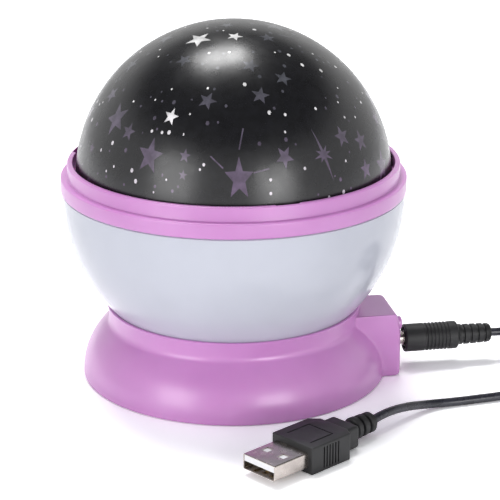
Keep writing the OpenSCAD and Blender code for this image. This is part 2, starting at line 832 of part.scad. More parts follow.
module battery_door() {
    color(mould_pink) difference() {
        union() {
            translate([-door_half_x, latch_y, cover_z])
                cube([bay_len, hinge_axis_y - latch_y, cover_t]);
            translate([-door_half_x, hinge_axis_y, cover_z + cover_t / 2]) rotate([0, 90, 0])
                cylinder(r = cover_t / 2, h = bay_len);
            for (x = [-tab_x, tab_x]) translate([x - tab_w / 2, hinge_y, bay_z]) {
                translate([0, -2.6, -cover_t / 2])
                    cube([tab_w, 1.9, cover_t / 2 + tab_lift + tab_t]);
                translate([0, -1, tab_lift]) cube([tab_w, 1 + tab_reach, tab_t]);
            }
            translate([-tongue_w / 2, latch_y - tongue_reach, cover_z])
                cube([tongue_w, tongue_reach + 1, cover_t / 2]);
        }
        translate([0, door_screw_y, 0]) rod(screw_r + 0.2, cover_z - 1, bay_z);
    }
}

module door_screw() {
    color(steel_grey) translate([0, door_screw_y, 0]) {
        rod(2, cover_z - 0.6, cover_z);
        rod(screw_r - free_fit, cover_z - overlap, bay_z + 1.6);
    }
}

module dc_plug_barrel() {
    color(steel_grey) translate([plug_x - barrel_len, box_y, jack_z]) rotate([0, 90, 0])
        difference() {
            rod(barrel_r, 0, barrel_len + 2);
            rod(0.7, -1, barrel_len - 0.5);
        }
}

// Moulded grip, shoulder and ribbed tail, turned about the plug's axis
module dc_plug_body() {
    groove_first = 6.4;
    groove_pitch = 1.13;
    color(cable_black) translate([plug_x, box_y, jack_z]) rotate([0, 90, 0]) rotate_extrude()
        difference() {
            union() {
                polygon([[barrel_r + free_fit, 0], [grip_r - 0.3, 0], [grip_r, 0.3],
                    [grip_r, grip_len - 0.6], [grip_r - 0.6, grip_len],
                    [tail_r, grip_len + 0.6], [tail_r - 0.2, grip_len + tail_len - 1],
                    [cable_r, grip_len + tail_len], [0, grip_len + tail_len],
                    [0, 2], [barrel_r + free_fit, 2]]);
            }
            for (k = [0:grip_grooves - 1]) translate([grip_r, groove_first + groove_pitch * k])
                circle(0.3, $fn = 16);
            for (k = [0:3]) translate([tail_r - 0.6, grip_len + 1.4 + 2.2 * k])
                square([1, 0.7]);
        }
}

module cord_lead_in() {
    color(cable_black) tube(lead_in_route, cable_r, 8);
}

module cord_coil() {
    color(cable_black) translate([coil_place[0], coil_place[1], 0]) rotate_extrude()
        translate([coil_mean_r, coil_h / 2]) round_rect(coil_out_r - coil_in_r, coil_h, cable_r);
}

module cord_tail() {
    color(cable_black) tube(tail_route, cable_r, 8);
}

module usb_frame() {
    translate(usb_place) rotate([0, 0, usb_angle]) children();
}

module usb_plug_body() {
    body_x = usb_shell_len;
    neck_x = body_x + usb_body_len;
    boot_x = neck_x + usb_neck_len;
    color(cable_black) usb_frame() difference() {
        union() {
            difference() {
                intersection() {
                    translate([body_x, 0, 0]) linear_extrude(usb_body_h) usb_outline();
                    usb_bar(body_x - 1, usb_body_len + 4, usb_body_w, usb_body_h, 0.9);
                }
                usb_grip_grooves(body_x);
            }
            usb_bar(neck_x - 2, usb_neck_len + 2, usb_neck_w, usb_body_h - 2 * usb_neck_drop, 1.6);
            translate([boot_x, 0, usb_mid_z]) rotate([0, 90, 0]) usb_boot();
        }
        usb_bar(body_x - 3, 4, usb_shell_w, usb_shell_h, usb_corner);
        usb_top_frame(body_x);
    }
}

// Bar of round-cornered section along the plug's axis
module usb_bar(from, len, w, h, corner) {
    translate([from, 0, usb_mid_z]) rotate([90, 0, 90]) linear_extrude(len) round_rect(w, h, corner);
}

// Plan of the moulded body, drawn in towards the neck
module usb_outline() {
    half = usb_body_w / 2;
    polygon([[0, -half + 0.4], [0.4, -half], [usb_body_len, -half],
        [usb_body_len + 1.6, -usb_neck_w / 2], [usb_body_len + 1.6, usb_neck_w / 2],
        [usb_body_len - 1, half], [0.4, half], [0, half - 0.4]]);
}

module usb_grip_grooves(body_x) {
    for (k = [0:5], side = [-1, 1])
        translate([body_x + 4.6 + 1.1 * k, side * usb_body_w / 2, usb_mid_z])
            cube([0.45, 0.7, usb_body_h - 1.6], center = true);
}

// Shallow three-sided outline pressed into the top
module usb_top_frame(body_x) {
    line = 0.4;
    half = usb_body_w / 2 - 3;
    len = usb_body_len - 6.1;
    translate([body_x + 2.6, 0, usb_body_h - 0.25]) linear_extrude(1) difference() {
        translate([0, -half]) square([len, 2 * half]);
        translate([-1, line - half]) square([len + 1 - line, 2 * (half - line)]);
    }
}

// Ringed boot that keeps the cable from kinking
module usb_boot() {
    rod(usb_boot_r - 0.9, -overlap, usb_boot_len);
    for (k = [0:2]) rod(usb_boot_r, 2.2 + 2.8 * k, 4 + 2.8 * k);
}

module usb_shell() {
    depth = usb_shell_len + 1;
    color(steel_grey) usb_frame() difference() {
        usb_bar(0, depth, usb_shell_w, usb_shell_h, usb_corner);
        usb_bar(-1, depth + 2, usb_shell_w - 2 * usb_wall, usb_shell_h - 2 * usb_wall,
            usb_corner - usb_wall);
        for (y = [-usb_shell_w / 4, usb_shell_w / 4], z = [-1, 1])
            translate([usb_shell_len / 2, y, usb_mid_z + z * usb_shell_h / 2])
                cube([2.4, 2.3, 1.2], center = true);
    }
}

module usb_tongue() {
    inner_w = usb_shell_w - 2 * usb_wall;
    inner_h = usb_shell_h - 2 * usb_wall;
    color("white") usb_frame() intersection() {
        usb_bar(0.3, usb_shell_len + 0.7, inner_w, inner_h, usb_corner - usb_wall);
        translate([0, -inner_w / 2, usb_mid_z + inner_h / 2 - usb_tongue_t])
            cube([usb_shell_len + 2, inner_w, usb_tongue_t]);
    }
}

module usb_contacts() {
    contact_t = 0.3;
    contact_w = 1;
    contact_pitch = 2.5;
    under = usb_mid_z + usb_shell_h / 2 - usb_wall - usb_tongue_t;
    color("gold") usb_frame() for (k = [0:3])
        translate([1.4 + (k % 3 == 0 ? 0 : 1), contact_pitch * (k - 1.5) - contact_w / 2,
            under - contact_t])
            cube([8, contact_w, contact_t]);
}

base_shell();
bottom_cover();
battery_tray();
battery_contacts();
battery_springs();
rubber_feet();
cover_screws();
mechanism_deck();
deck_screws();
gear_motor();
motor_screws();
lamp_post();
post_screws();
glide_washer();
retaining_clip();
lamp_board();
lamp_leds();
control_board();
tact_switches();
dc_jack();
bowl();
ring_gear();
gear_screws();
bezel_ring();
star_dome();
motor_pinion();
light_button();
colour_button();
spin_button();
battery_door();
door_screw();
dc_plug_barrel();
dc_plug_body();
cord_lead_in();
cord_coil();
cord_tail();
usb_plug_body();
usb_shell();
usb_tongue();
usb_contacts();
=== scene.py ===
"""Star night light projector: its looks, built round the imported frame. Blender 4.5.

Shapes are written in millimetres in the part's own frame, +Z up, the turning axis at the origin,
and +X the way that the control box faces. to_mesh() brings each one to metres.
"""
import math
import random

import bmesh
import bpy
from mathutils import Matrix, Vector


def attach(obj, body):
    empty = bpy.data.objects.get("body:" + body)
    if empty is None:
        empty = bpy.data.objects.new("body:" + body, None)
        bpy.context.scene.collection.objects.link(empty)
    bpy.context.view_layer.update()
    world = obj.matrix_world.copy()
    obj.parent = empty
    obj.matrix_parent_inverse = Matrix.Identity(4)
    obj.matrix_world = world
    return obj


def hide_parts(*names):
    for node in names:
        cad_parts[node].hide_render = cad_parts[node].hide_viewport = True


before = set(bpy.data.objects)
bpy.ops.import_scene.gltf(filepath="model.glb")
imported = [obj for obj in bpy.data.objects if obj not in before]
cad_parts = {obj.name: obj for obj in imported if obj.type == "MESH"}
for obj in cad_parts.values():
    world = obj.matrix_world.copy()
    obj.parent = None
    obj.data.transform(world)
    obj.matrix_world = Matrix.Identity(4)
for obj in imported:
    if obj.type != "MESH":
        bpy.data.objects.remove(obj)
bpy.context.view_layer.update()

MM = 0.001
FULL_TURN = 2 * math.pi
UP = Vector((0, 0, 1))


# ---------------------------------------------------------------- camera
# In metres, degrees and millimetres.
CAMERA_PLACE = (-0.09512, -0.54615, 0.22538)
CAMERA_TURN = (71.23, 0, -10.37)
CAMERA_LENS = 142.3
CAMERA_SENSOR = 36
CAMERA_NEAR = 0.01


def add_object(name, data):
    """A new object that shows some data, linked to the scene."""
    made = bpy.data.objects.new(name, data)
    bpy.context.scene.collection.objects.link(made)
    return made


def make_camera():
    camera = bpy.data.cameras.new("camera")
    camera.lens = CAMERA_LENS
    camera.sensor_width = CAMERA_SENSOR
    camera.clip_start = CAMERA_NEAR
    holder = add_object("camera", camera)
    holder.location = CAMERA_PLACE
    holder.rotation_euler = [math.radians(a) for a in CAMERA_TURN]
    bpy.context.scene.camera = holder


make_camera()


# ---------------------------------------------------------------- sizes, in millimetres
BOWL_R = 50.15
BOWL_Z = 56              # height of the centre of the bowl's round
BOWL_WALL = 1.8
BOWL_TOP = 59.98         # top of the bowl's rim, under the ledge in the ring
SEAM_Z = 22              # rim of the collar that the bowl stands in
COLLAR_R = 37.9
# Inside the collar, from its rim down: the dust lip that comes close to the bowl.
DUST_LIP = [(36.99, 22), (36.71, 21.7), (35.85, 20.8), (35.05, 20), (35.5, 19.3)]

RING_Z = 56.88           # lower edge of the bezel ring
RING_R = 50.5
SKIRT_TOP = 61.28
SKIRT_IN_R = 48.6
LIP_TOP = 65.38
LIP_R = 48.5
LIP_IN_R = 46.9
SEAT_Z = 61.38           # top of the ledge, which carries the dome
LEDGE_IN_R = 43.8
KEY_OUT_R = 47.75        # drop-in keys of the dome
KEY_W = 6.4
KEY_H = 3.3
NOTCH_AZIMUTHS = (-82, 38, 158)  # notches for the keys, in the ring's lip
NOTCH_SIDE_GAP = 0.3
NOTCH_END_GAP = 0.2

DOME_R = 46.2
DOME_Z = 59.53           # height of the centre of the dome's round
DOME_WALL = 1.6

BELLY_X = 25.85          # round belly of the base: its centre's place, its radius and height
BELLY_R = 19.35
BELLY_Z = 0.6
WAIST_R = 37.2           # narrowest round of the neck under the collar
WAIST_Z = 17.5
NECK_FLARE = 1.5         # power by which the neck widens from there up to the collar
SWEEP_R = 2.5            # hollow sweep from the belly up to the waist
SWEEP_X = WAIST_R + SWEEP_R
JOIN_Z = BELLY_Z + BELLY_R * (WAIST_Z - BELLY_Z) / (BELLY_R + SWEEP_R)
BASE_WALL = 1.8
BOX_WALL = BASE_WALL + 0.4
RIM_Z = 0.2              # lowest edge of the base's shell

BOX_Y = -7.6             # control box, off the middle
BOX_W = 18.1
BOX_TOP = 19.55
BOX_EDGE = 1             # rounding between the box's top and its face
FACE_X = 47.4
LEAN_Z = 12.05           # above this height the box's face leans in
LEAN_R = 20.6
BUTTON_R = 2
BUTTON_GAP = 0.06        # by which a cap is smaller, and its socket larger
BUTTON_Z = 15.45
BUTTON_PITCH = 4.8
JACK_Z = 8.45
JACK_R = 3.5
SOCKET_DEPTH = 8         # length of the cutters for the holes in the box's face

PLUG_X = 50.5            # near end of the power plug's grip

USB_PLACE = Vector((-7.6, -80.5, 0))
USB_ANGLE = 33.7
USB_MID_Z = 3.9
USB_SHELL_LEN = 12.4
USB_SHELL_W = 12.0
USB_SHELL_H = 4.5
USB_SHELL_WALL = 0.35
USB_BODY_LEN = 14.7
USB_BODY_W = 15.2
USB_BODY_H = 7.8
USB_NECK_LEN = 6.6

CABLE_D = 2.5


# ---------------------------------------------------------------- colours and nodes
NOISE_TONES = (0.35, 0.65)       # values of the noise at which a mottle has its two tones
NOISE_REACH = (0.3, 0.7)         # values between which nearly all of the noise lies
GRAIN_STRENGTH = 0.5


def hex_colour(code):
    """A hex sRGB colour as linear RGBA."""
    parts = [int(code[i:i + 2], 16) / 255 for i in (1, 3, 5)]
    return [p / 12.92 if p <= 0.04045 else ((p + 0.055) / 1.055) ** 2.4 for p in parts] + [1]


def add_node(tree, kind, inputs=None, **settings):
    """Adds a node, with its settings, its inputs' values and the sockets that feed them."""
    made = tree.nodes.new(kind)
    for name, value in settings.items():
        setattr(made, name, value)
    for name, value in (inputs or {}).items():
        if isinstance(value, bpy.types.NodeSocket):
            tree.links.new(value, made.inputs[name])
        else:
            made.inputs[name].default_value = value
    return made


def start_material(name):
    """A new material, with its node tree and shader."""
    made = bpy.data.materials.new(name)
    made.use_nodes = True
    return made, made.node_tree, made.node_tree.nodes["Principled BSDF"]


def per_mm(size):
    """Noise scale for a pattern whose grains are a size in millimetres across."""
    return 1 / (size * MM)


def set_shader(shader, **values):
    """Sets the shader's own sockets, such as base_color as Base Color."""
    for name, value in values.items():
        shader.inputs[name.replace("_", " ").title().replace("Ior", "IOR")].default_value = value


def mottle(tree, place, size, dark, light):
    """Colour that drifts between two tones over patches of a size in millimetres."""
    noise = add_node(tree, "ShaderNodeTexNoise",
                     {"Vector": place, "Scale": per_mm(size), "Detail": 3})
    ramp = add_node(tree, "ShaderNodeValToRGB", {"Fac": noise.outputs["Fac"]})
    low, high = ramp.color_ramp.elements
    low.position, high.position = NOISE_TONES
    low.color, high.color = hex_colour(dark), hex_colour(light)
    return ramp.outputs["Color"]


def uneven_gloss(tree, shader, place, size, low, high):
    """Roughness that drifts between two values over patches of a size in millimetres."""
    noise = add_node(tree, "ShaderNodeTexNoise",
                     {"Vector": place, "Scale": per_mm(size), "Detail": 4})
    spread = add_node(tree, "ShaderNodeMapRange",
                      {"Value": noise.outputs["Fac"], "From Min": NOISE_REACH[0],
                       "From Max": NOISE_REACH[1], "To Min": low, "To Max": high})
    tree.links.new(spread.outputs["Result"], shader.inputs["Roughness"])


def grain_bump(tree, shader, place, size, height):
    """Relief of grains of a size and a height in millimetres."""
    noise = add_node(tree, "ShaderNodeTexNoise",
                     {"Vector": place, "Scale": per_mm(size), "Detail": 2})
    bump = add_node(tree, "ShaderNodeBump", {"Height": noise.outputs["Fac"],
                                             "Strength": GRAIN_STRENGTH, "Distance": height * MM})
    tree.links.new(bump.outputs["Normal"], shader.inputs["Normal"])


def object_place(tree):
    return add_node(tree, "ShaderNodeTexCoord").outputs["Object"]


# ---------------------------------------------------------------- materials
# Sizes of patches and grains are in millimetres. Grains of under half a millimetre stand for finer
# ones, and are drawn as coarse as it takes for them to show.
PINK_UP_TO = 95          # height up to which the ring's pink is painted into the dome's windows, as a painted view through them


def make_finish(name, dark, light, patch, gloss, grain, height, gloss_patch=None, **values):
    """A moulded, plated or printed material that drifts between two near tones."""
    made, tree, shader = start_material(name)
    place = object_place(tree)
    tree.links.new(mottle(tree, place, patch, dark, light), shader.inputs["Base Color"])
    uneven_gloss(tree, shader, place, gloss_patch or patch, *gloss)
    grain_bump(tree, shader, place, grain, height)
    set_shader(shader, **values)
    return made


def make_dome_window(name, top, bottom, roughness):
    """Clear acrylic where the ink is left out, painted with what shows through it: painted shade of
    the dim inside, pinker towards the ring where its pink shows through.
    """
    made, tree, shader = start_material(name)
    place = object_place(tree)
    height = add_node(tree, "ShaderNodeSeparateXYZ", {"Vector": place}).outputs["Z"]
    rise = add_node(tree, "ShaderNodeMapRange", {"Value": height, "From Min": SEAT_Z * MM,
                                                 "From Max": PINK_UP_TO * MM})
    blend = add_node(tree, "ShaderNodeMix", {"Factor": rise.outputs["Result"]}, data_type="RGBA")
    blend.inputs["A"].default_value = hex_colour(bottom)
    blend.inputs["B"].default_value = hex_colour(top)
    cloud = mottle(tree, place, 3, "#C8C8C8", "#FFFFFF")
    tint = add_node(tree, "ShaderNodeMix", data_type="RGBA", blend_type="MULTIPLY")
    tint.inputs["Factor"].default_value = 1
    tree.links.new(blend.outputs["Result"], tint.inputs["A"])
    tree.links.new(cloud, tint.inputs["B"])
    tree.links.new(tint.outputs["Result"], shader.inputs["Base Color"])
    grain_bump(tree, shader, place, 0.6, 0.003)
    set_shader(shader, roughness=roughness)
    return made


# Moulded ABS with a low gloss: a smooth skin with a faint flow mottle, whose colour glows a
# little where it is thin.
PINK = make_finish("moulded_pink_abs", "#C886C6", "#CE8ECC", 22, (0.3, 0.36), 1.6, 0.004, 9,
                   specular_ior_level=0.65, coat_weight=0.15, coat_roughness=0.2,
                   subsurface_weight=0.2, subsurface_radius=(1.0, 0.35, 0.7),
                   subsurface_scale=0.0022)
# Milky polypropylene, blown smooth: translucent bluish white, with slow waves in its gloss.
MILKY = make_finish("milky_polypropylene", "#C8CBD6", "#CED1DC", 30, (0.14, 0.2), 12, 0.03, 14,
                    specular_ior_level=0.3, subsurface_weight=0.35,
                    subsurface_radius=(1.0, 1.0, 1.0), subsurface_scale=0.004)
# Black screen ink on acrylic: satin, a little cloudy, with the ink's fine speckle.
PRINT = make_finish("black_dome_print", "#0E0E11", "#141418", 2.2, (0.25, 0.31), 0.5, 0.004, 5)
# Painted see-through view: the windows' dim grey is painted shade of the inside, pinker low down
# where the ring's pink shows through.
PAINTED_VIEW_WINDOW = make_dome_window("clear_acrylic_window_painted_view", "#505158", "#6E5877", 0.24)
# Painted light: windows painted near white where light shows through the dome.
PAINTED_LIGHT_WINDOW = make_dome_window("clear_acrylic_window_painted_light", "#F2F1F0", "#E6DCE8", 0.2)
# Natural moulded nylon: warm white, softly matt from a spark-eroded tool.
NYLON = make_finish("natural_nylon", "#E2DFD6", "#ECEAE3", 8, (0.42, 0.55), 0.25, 0.01)
# Zinc-plated steel: bright grey metal with the plate's fine crystals.
STEEL = make_finish("zinc_plated_steel", "#B4B6BA", "#C6C8CC", 2, (0.25, 0.38), 0.3, 0.004,
                    metallic=1.0)
# Black rubber, moulded: matt, with a dusty bloom.
RUBBER = make_finish("black_rubber", "#1B1B1D", "#262629", 3, (0.6, 0.75), 0.2, 0.02)
# Green solder mask over copper: glossy, with a faint relief.
BOARD = make_finish("green_solder_mask", "#1F5A35", "#2E7047", 1.2, (0.2, 0.3), 0.8, 0.01)
# Epoxy lamp bodies, cast smooth: glossy and slightly warm.
RESIN = make_finish("cast_epoxy", "#E6E2D2", "#F4F1E6", 3, (0.06, 0.1), 2, 0.004)
# Black glass-filled nylon: matt and slightly mottled.
SWITCH = make_finish("black_glass_filled_nylon", "#17171A", "#222226", 1, (0.45, 0.6), 0.15, 0.01)
# Soft PVC cable jacket: blackish grey, satin from the extruder.
VINYL = make_finish("soft_pvc", "#25252D", "#2E2E38", 4, (0.24, 0.32), 0.35, 0.012)
# Harder PVC, moulded round the plugs and as the tie: deep black and nearly matt.
MOULDING = make_finish("moulded_pvc", "#121214", "#18181A", 4, (0.5, 0.6), 0.35, 0.01)
# Bright nickel plate on pressed steel: satin, with the sheet's fine grain.
NICKEL = make_finish("bright_nickel_plate", "#A9A19D", "#B8B0AB", 3, (0.2, 0.3), 0.4, 0.003,
                     metallic=1.0)
# White moulded tongue of a USB plug: slightly matt PBT.
TONGUE = make_finish("white_pbt", "#EDEDF0", "#F8F8FA", 3, (0.35, 0.45), 0.3, 0.004)
# Gold flash over nickel on the contacts: glossy and warm.
GOLD = make_finish("gold_flash", "#D9B45C", "#E6C674", 1, (0.15, 0.25), 0.3, 0.002, metallic=1.0)

NODE_FINISHES = [
    (PINK, "base_shell bezel_ring bottom_cover battery_door"),
    (PINK, "light_button colour_button spin_button"),
    (MILKY, "bowl"),
    (PRINT, "star_dome"),
    (NYLON, "battery_tray mechanism_deck lamp_post glide_washer ring_gear motor_pinion"),
    (STEEL, "battery_contacts battery_springs gear_motor retaining_clip cover_screws deck_screws"),
    (STEEL, "motor_screws post_screws gear_screws door_screw"),
    (RUBBER, "rubber_feet"),
    (BOARD, "lamp_board control_board"),
    (RESIN, "lamp_leds"),
    (SWITCH, "tact_switches dc_jack"),
    (VINYL, "cord_lead_in cord_coil cord_tail"),
    (MOULDING, "dc_plug_body usb_plug_body"),
    (NICKEL, "dc_plug_barrel usb_shell"),
    (TONGUE, "usb_tongue"),
    (GOLD, "usb_contacts"),
]
for finish, node_names in NODE_FINISHES:
    for node_name in node_names.split():
        for node_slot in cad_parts[node_name].material_slots:
            node_slot.material = finish


# ---------------------------------------------------------------- shared makers
MERGE = 0.002            # points closer than this are one


def to_mesh(bm, name):
    """Turns a shape in millimetres into a mesh in metres."""
    bmesh.ops.scale(bm, vec=(MM, MM, MM), verts=bm.verts)
    mesh = bpy.data.meshes.new(name)
    bm.to_mesh(mesh)
    bm.free()
    return mesh


def shade(mesh, sharp):
    """Shades a mesh smooth, but for the edges that are sharper than an angle in degrees."""
    mesh.shade_smooth()
    mesh.set_sharp_from_angle(angle=math.radians(sharp))


def finish_piece(bm, name, body, materials, replaces=(), sharp=32):
    """Turns a shape in millimetres into a piece that rides on a body."""
    mesh = to_mesh(bm, name)
    for material in materials:
        mesh.materials.append(material)
    shade(mesh, sharp)
    piece = add_object(name, mesh)
    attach(piece, body)
    if replaces:
        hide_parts(*replaces)
    return piece


def close_shape(bm):
    """Merges doubles and turns all faces outwards."""
    bmesh.ops.remove_doubles(bm, verts=bm.verts, dist=MERGE)
    bmesh.ops.recalc_face_normals(bm, faces=bm.faces)


def pairs(loop):
    """Each item of a closed loop with the one after it."""
    return zip(loop, loop[1:] + loop[:1])


def of_kind(made, kind):
    """The points, or the faces, among what an operator made."""
    return [g for g in made if isinstance(g, kind)]


def direction(azimuth, elevation):
    """The unit vector that points to an azimuth and an elevation in degrees."""
    a, e = math.radians(azimuth), math.radians(elevation)
    return Vector((math.cos(e) * math.cos(a), math.cos(e) * math.sin(a), math.sin(e)))


def arc(centre, radius, start, end, steps):
    """Points of an arc in a plane, from one angle in degrees to another."""
    turns = [math.radians(start + (end - start) * i / steps) for i in range(steps + 1)]
    return [(centre[0] + radius * math.cos(a), centre[1] + radius * math.sin(a)) for a in turns]


def spin_closed(bm, points, centre, axis, steps):
    """Spins a closed loop of points full circle about an axis."""
    verts = [bm.verts.new(p) for p in points]
    edges = [bm.edges.new(pair) for pair in pairs(verts)]
    bmesh.ops.spin(bm, geom=verts + edges, cent=centre, axis=axis, angle=FULL_TURN, steps=steps,
                   use_merge=True)


def spin_upright(bm, profile, steps):
    """Spins a closed profile of (radius, height) about the turning axis."""
    spin_closed(bm, [(r, 0, z) for r, z in profile], (0, 0, 0), UP, steps)


def spin_along_x(bm, profile, y, z, steps=64):
    """Spins a closed profile of (distance along X, radius) about a line along X."""
    spin_closed(bm, [(x, y, z + r) for x, r in profile], (0, y, z), Vector((1, 0, 0)), steps)


def lay(bm, azimuth, place):
    """Turns a shape about the upright axis, then carries it to its place."""
    bmesh.ops.rotate(bm, cent=(0, 0, 0), matrix=Matrix.Rotation(math.radians(azimuth), 3, "Z"),
                     verts=bm.verts)
    bmesh.ops.translate(bm, vec=place, verts=bm.verts)


def loft(bm, outlines):
    """Joins closed outlines of as many points each, one to the next and the last to the first."""
    loop = [bm.verts.new(p) for p in outlines[0]]
    first = list(loop)
    for pair in pairs(loop):
        bm.edges.new(pair)
    for outline in outlines[1:]:
        edges = [bm.edges.get(pair) for pair in pairs(loop)]
        made = bmesh.ops.extrude_edge_only(bm, edges=edges)["geom"]
        old = set(loop)
        after = {next(e.other_vert(v) for e in v.link_edges if e.other_vert(v) in old): v
                 for v in of_kind(made, bmesh.types.BMVert)}
        loop = [after[v] for v in loop]
        for v, place in zip(loop, outline):
            v.co = place
    ends = [bm.edges.get(pair) for end in (first, loop) for pair in pairs(end)]
    bmesh.ops.bridge_loops(bm, edges=ends)


def slab(bm, plan, low, high):
    """A flat plan raised to a solid between two heights."""
    base = bm.faces.new([bm.verts.new((x, y, low)) for x, y in plan])
    made = bmesh.ops.extrude_face_region(bm, geom=[base])["geom"]
    bmesh.ops.translate(bm, vec=(0, 0, high - low), verts=of_kind(made, bmesh.types.BMVert))
    bmesh.ops.recalc_face_normals(bm, faces=bm.faces)


def block(bm, centre, size, round_off=0.0, segments=3):
    """A box with rounded edges."""
    made = bmesh.ops.create_cube(bm, size=1)["verts"]
    bmesh.ops.scale(bm, vec=size, verts=made)
    bmesh.ops.translate(bm, vec=centre, verts=made)
    if round_off:
        edges = list({e for v in made for e in v.link_edges})
        bmesh.ops.bevel(bm, geom=edges, offset=round_off, affect="EDGES", segments=segments,
                        profile=0.5, material=-1)


def cut_piece(piece, cutter_bm, sharp=32):
    """Takes a cutter's shape, in millimetres, out of a piece, and applies the cut."""
    cutter = add_object("cutter", to_mesh(cutter_bm, "cutter"))
    step = piece.modifiers.new("cut", "BOOLEAN")
    step.object = cutter
    step.operation = "DIFFERENCE"
    step.solver = "MANIFOLD"
    apply_modifiers(piece)
    shade(piece.data, sharp)
    bpy.data.objects.remove(cutter)
    return piece


def apply_modifiers(piece):
    """Replaces a piece's mesh by what its modifiers make of it."""
    shown = bpy.context.evaluated_depsgraph_get()
    made = bpy.data.meshes.new_from_object(piece.evaluated_get(shown), depsgraph=shown)
    piece.modifiers.clear()
    old = piece.data
    piece.data = made
    made.name = piece.name
    bpy.data.meshes.remove(old)


# ---------------------------------------------------------------- the lead
LEAD_IN_ROUTE = [(77.6, -7.6, 8.45), (80.5, -7.6, 8.4), (83.5, -7, 8.2), (86.5, -5.2, 7.6),
                 (89.2, -2.8, 6.8), (92.0, -0.6, 6.25), (95.4, 0.9, 6.25)]
TAIL_ROUTE = [(100, -31.5, 1.25), (95, -32, 1.25), (89.5, -33.6, 1.25), (83.5, -36, 1.25),
              (77.5, -38.2, 1.25), (71, -39.6, 1.25), (65, -40.4, 1.25), (60, -41, 1.25),
              (55.5, -41.5, 1.3), (50.8, -42.4, 1.6), (46.8, -44, 2.2), (43.4, -46, 3),
              (40, -48.3, 3.7), (36.2, -51.1, 4.3), (32.4, -53.8, 4.4), (28.76, -56.25, 3.9)]
COIL_PLACE = (100, -15)
# Each turn's radius and height, from the lead's start to its end.
COIL_TURNS = [(16.5, 6.25), (16.5, 3.75), (14, 3.75), (14, 6.25), (11.5, 6.25), (11.5, 3.75),
              (11.5, 1.25), (14, 1.25), (16.5, 1.25)]
COIL_START = 106
COIL_END = -90
COIL_STEPS = 24          # points in each turn
COIL_CROSSING = 5        # points over which the cable steps to the next turn
TIE_AZIMUTH = 62


def coil_points():
    """The coil's centreline, wound clockwise, one turn after another."""
    sweep = (COIL_START - COIL_END) % 360 + 360 * (len(COIL_TURNS) - 1)
    count = round(sweep / 360 * COIL_STEPS)
    points = []
    for i in range(1, count):
        turn = min(i // COIL_STEPS, len(COIL_TURNS) - 1)
        here = COIL_TURNS[turn]
        after = COIL_TURNS[min(turn + 1, len(COIL_TURNS) - 1)]
        left = COIL_STEPS * (turn + 1) - i
        share = max(0.0, 1 - left / COIL_CROSSING)
        share = share * share * (3 - 2 * share)
        radius = here[0] + (after[0] - here[0]) * share
        height = here[1] + (after[1] - here[1]) * share
        angle = math.radians(COIL_START - sweep * i / count)
        points.append((COIL_PLACE[0] + radius * math.cos(angle),
                       COIL_PLACE[1] + radius * math.sin(angle), height))
    return points


def make_lead():
    """The cable's jacket, round one spline from the power plug's tail to the USB plug."""
    route = LEAD_IN_ROUTE + coil_points() + TAIL_ROUTE
    curve = bpy.data.curves.new("lead_cable", "CURVE")
    curve.dimensions = "3D"
    curve.bevel_depth = CABLE_D / 2 * MM
    curve.bevel_resolution = 5
    curve.resolution_u = 4
    curve.use_fill_caps = True
    spline = curve.splines.new("BEZIER")
    spline.bezier_points.add(len(route) - 1)
    for knot, place in zip(spline.bezier_points, route):
        knot.co = Vector(place) * MM
        knot.handle_left_type = "AUTO"
        knot.handle_right_type = "AUTO"
    curve.materials.append(VINYL)
    lead = add_object("lead_cable", curve)
    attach(lead, "lead")
    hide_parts("cord_lead_in", "cord_coil", "cord_tail")
    return lead


lead_cable = make_lead()


# ---------------------------------------------------------------- base shell
FOOT_EDGE = 1.1          # rounding at the foot of the box's face
FILLET_R = 1.3           # round inner corner between the box's walls and the base's skin, low down
TOP_FILLET_R = 0.3       # the same corner at the top of the box
FILLET_RISE = 9          # height over which the one turns into the other
CORNER_R = 1.2           # round upright corners of the box
CRISP_R = 0.25           # fine rounding of the box's side edges, the shell's foot and the rim
SHELL_SHARP = 30         # degrees
# Steps of an outline round an inner corner, a wall, a corner, the box's face, and the skin.
FILLET_STEPS, WALL_STEPS, CORNER_STEPS, FACE_STEPS, SKIN_STEPS = 6, 4, 5, 6, 150


def skin_radius(z):
    """Radius of the base's round skin at a height: belly, sweep, then the neck up to the rim."""
    if z < JOIN_Z:
        return BELLY_X + math.sqrt(BELLY_R ** 2 - (z - BELLY_Z) ** 2)
    if z < WAIST_Z:
        return SWEEP_X - math.sqrt(SWEEP_R ** 2 - (WAIST_Z - z) ** 2)
    rise = (z - WAIST_Z) / (SEAM_Z - WAIST_Z)
    return WAIST_R + (COLLAR_R - WAIST_R) * rise ** NECK_FLARE


def face_depth(z):
    """How far out the box's face stands at a height: it leans in, then rounds over to the top."""
    lean_x = FACE_X - LEAN_R
    edge_z = BOX_TOP - BOX_EDGE
    edge_x = lean_x + math.sqrt((LEAN_R - BOX_EDGE) ** 2 - (edge_z - LEAN_Z) ** 2)
    if z - edge_z > BOX_EDGE * (edge_z - LEAN_Z) / (LEAN_R - BOX_EDGE):
        return edge_x + math.sqrt(max(0.0, BOX_EDGE ** 2 - (z - edge_z) ** 2))
    lift = max(0.0, z - LEAN_Z)
    tuck = min(FOOT_EDGE, max(0.0, FOOT_EDGE - (z - RIM_Z)))
    foot_draw = FOOT_EDGE - math.sqrt(FOOT_EDGE ** 2 - tuck ** 2)
    return lean_x + math.sqrt(LEAN_R ** 2 - lift ** 2) - foot_draw


def crisp_draw(z):
    """How far a finely rounded edge is drawn in at a height, at the box's top and at the foot."""
    depth = min(BOX_TOP - z, z - RIM_Z)
    if depth > CRISP_R:
        return 0.0
    return CRISP_R - math.sqrt(CRISP_R ** 2 - (CRISP_R - depth) ** 2)


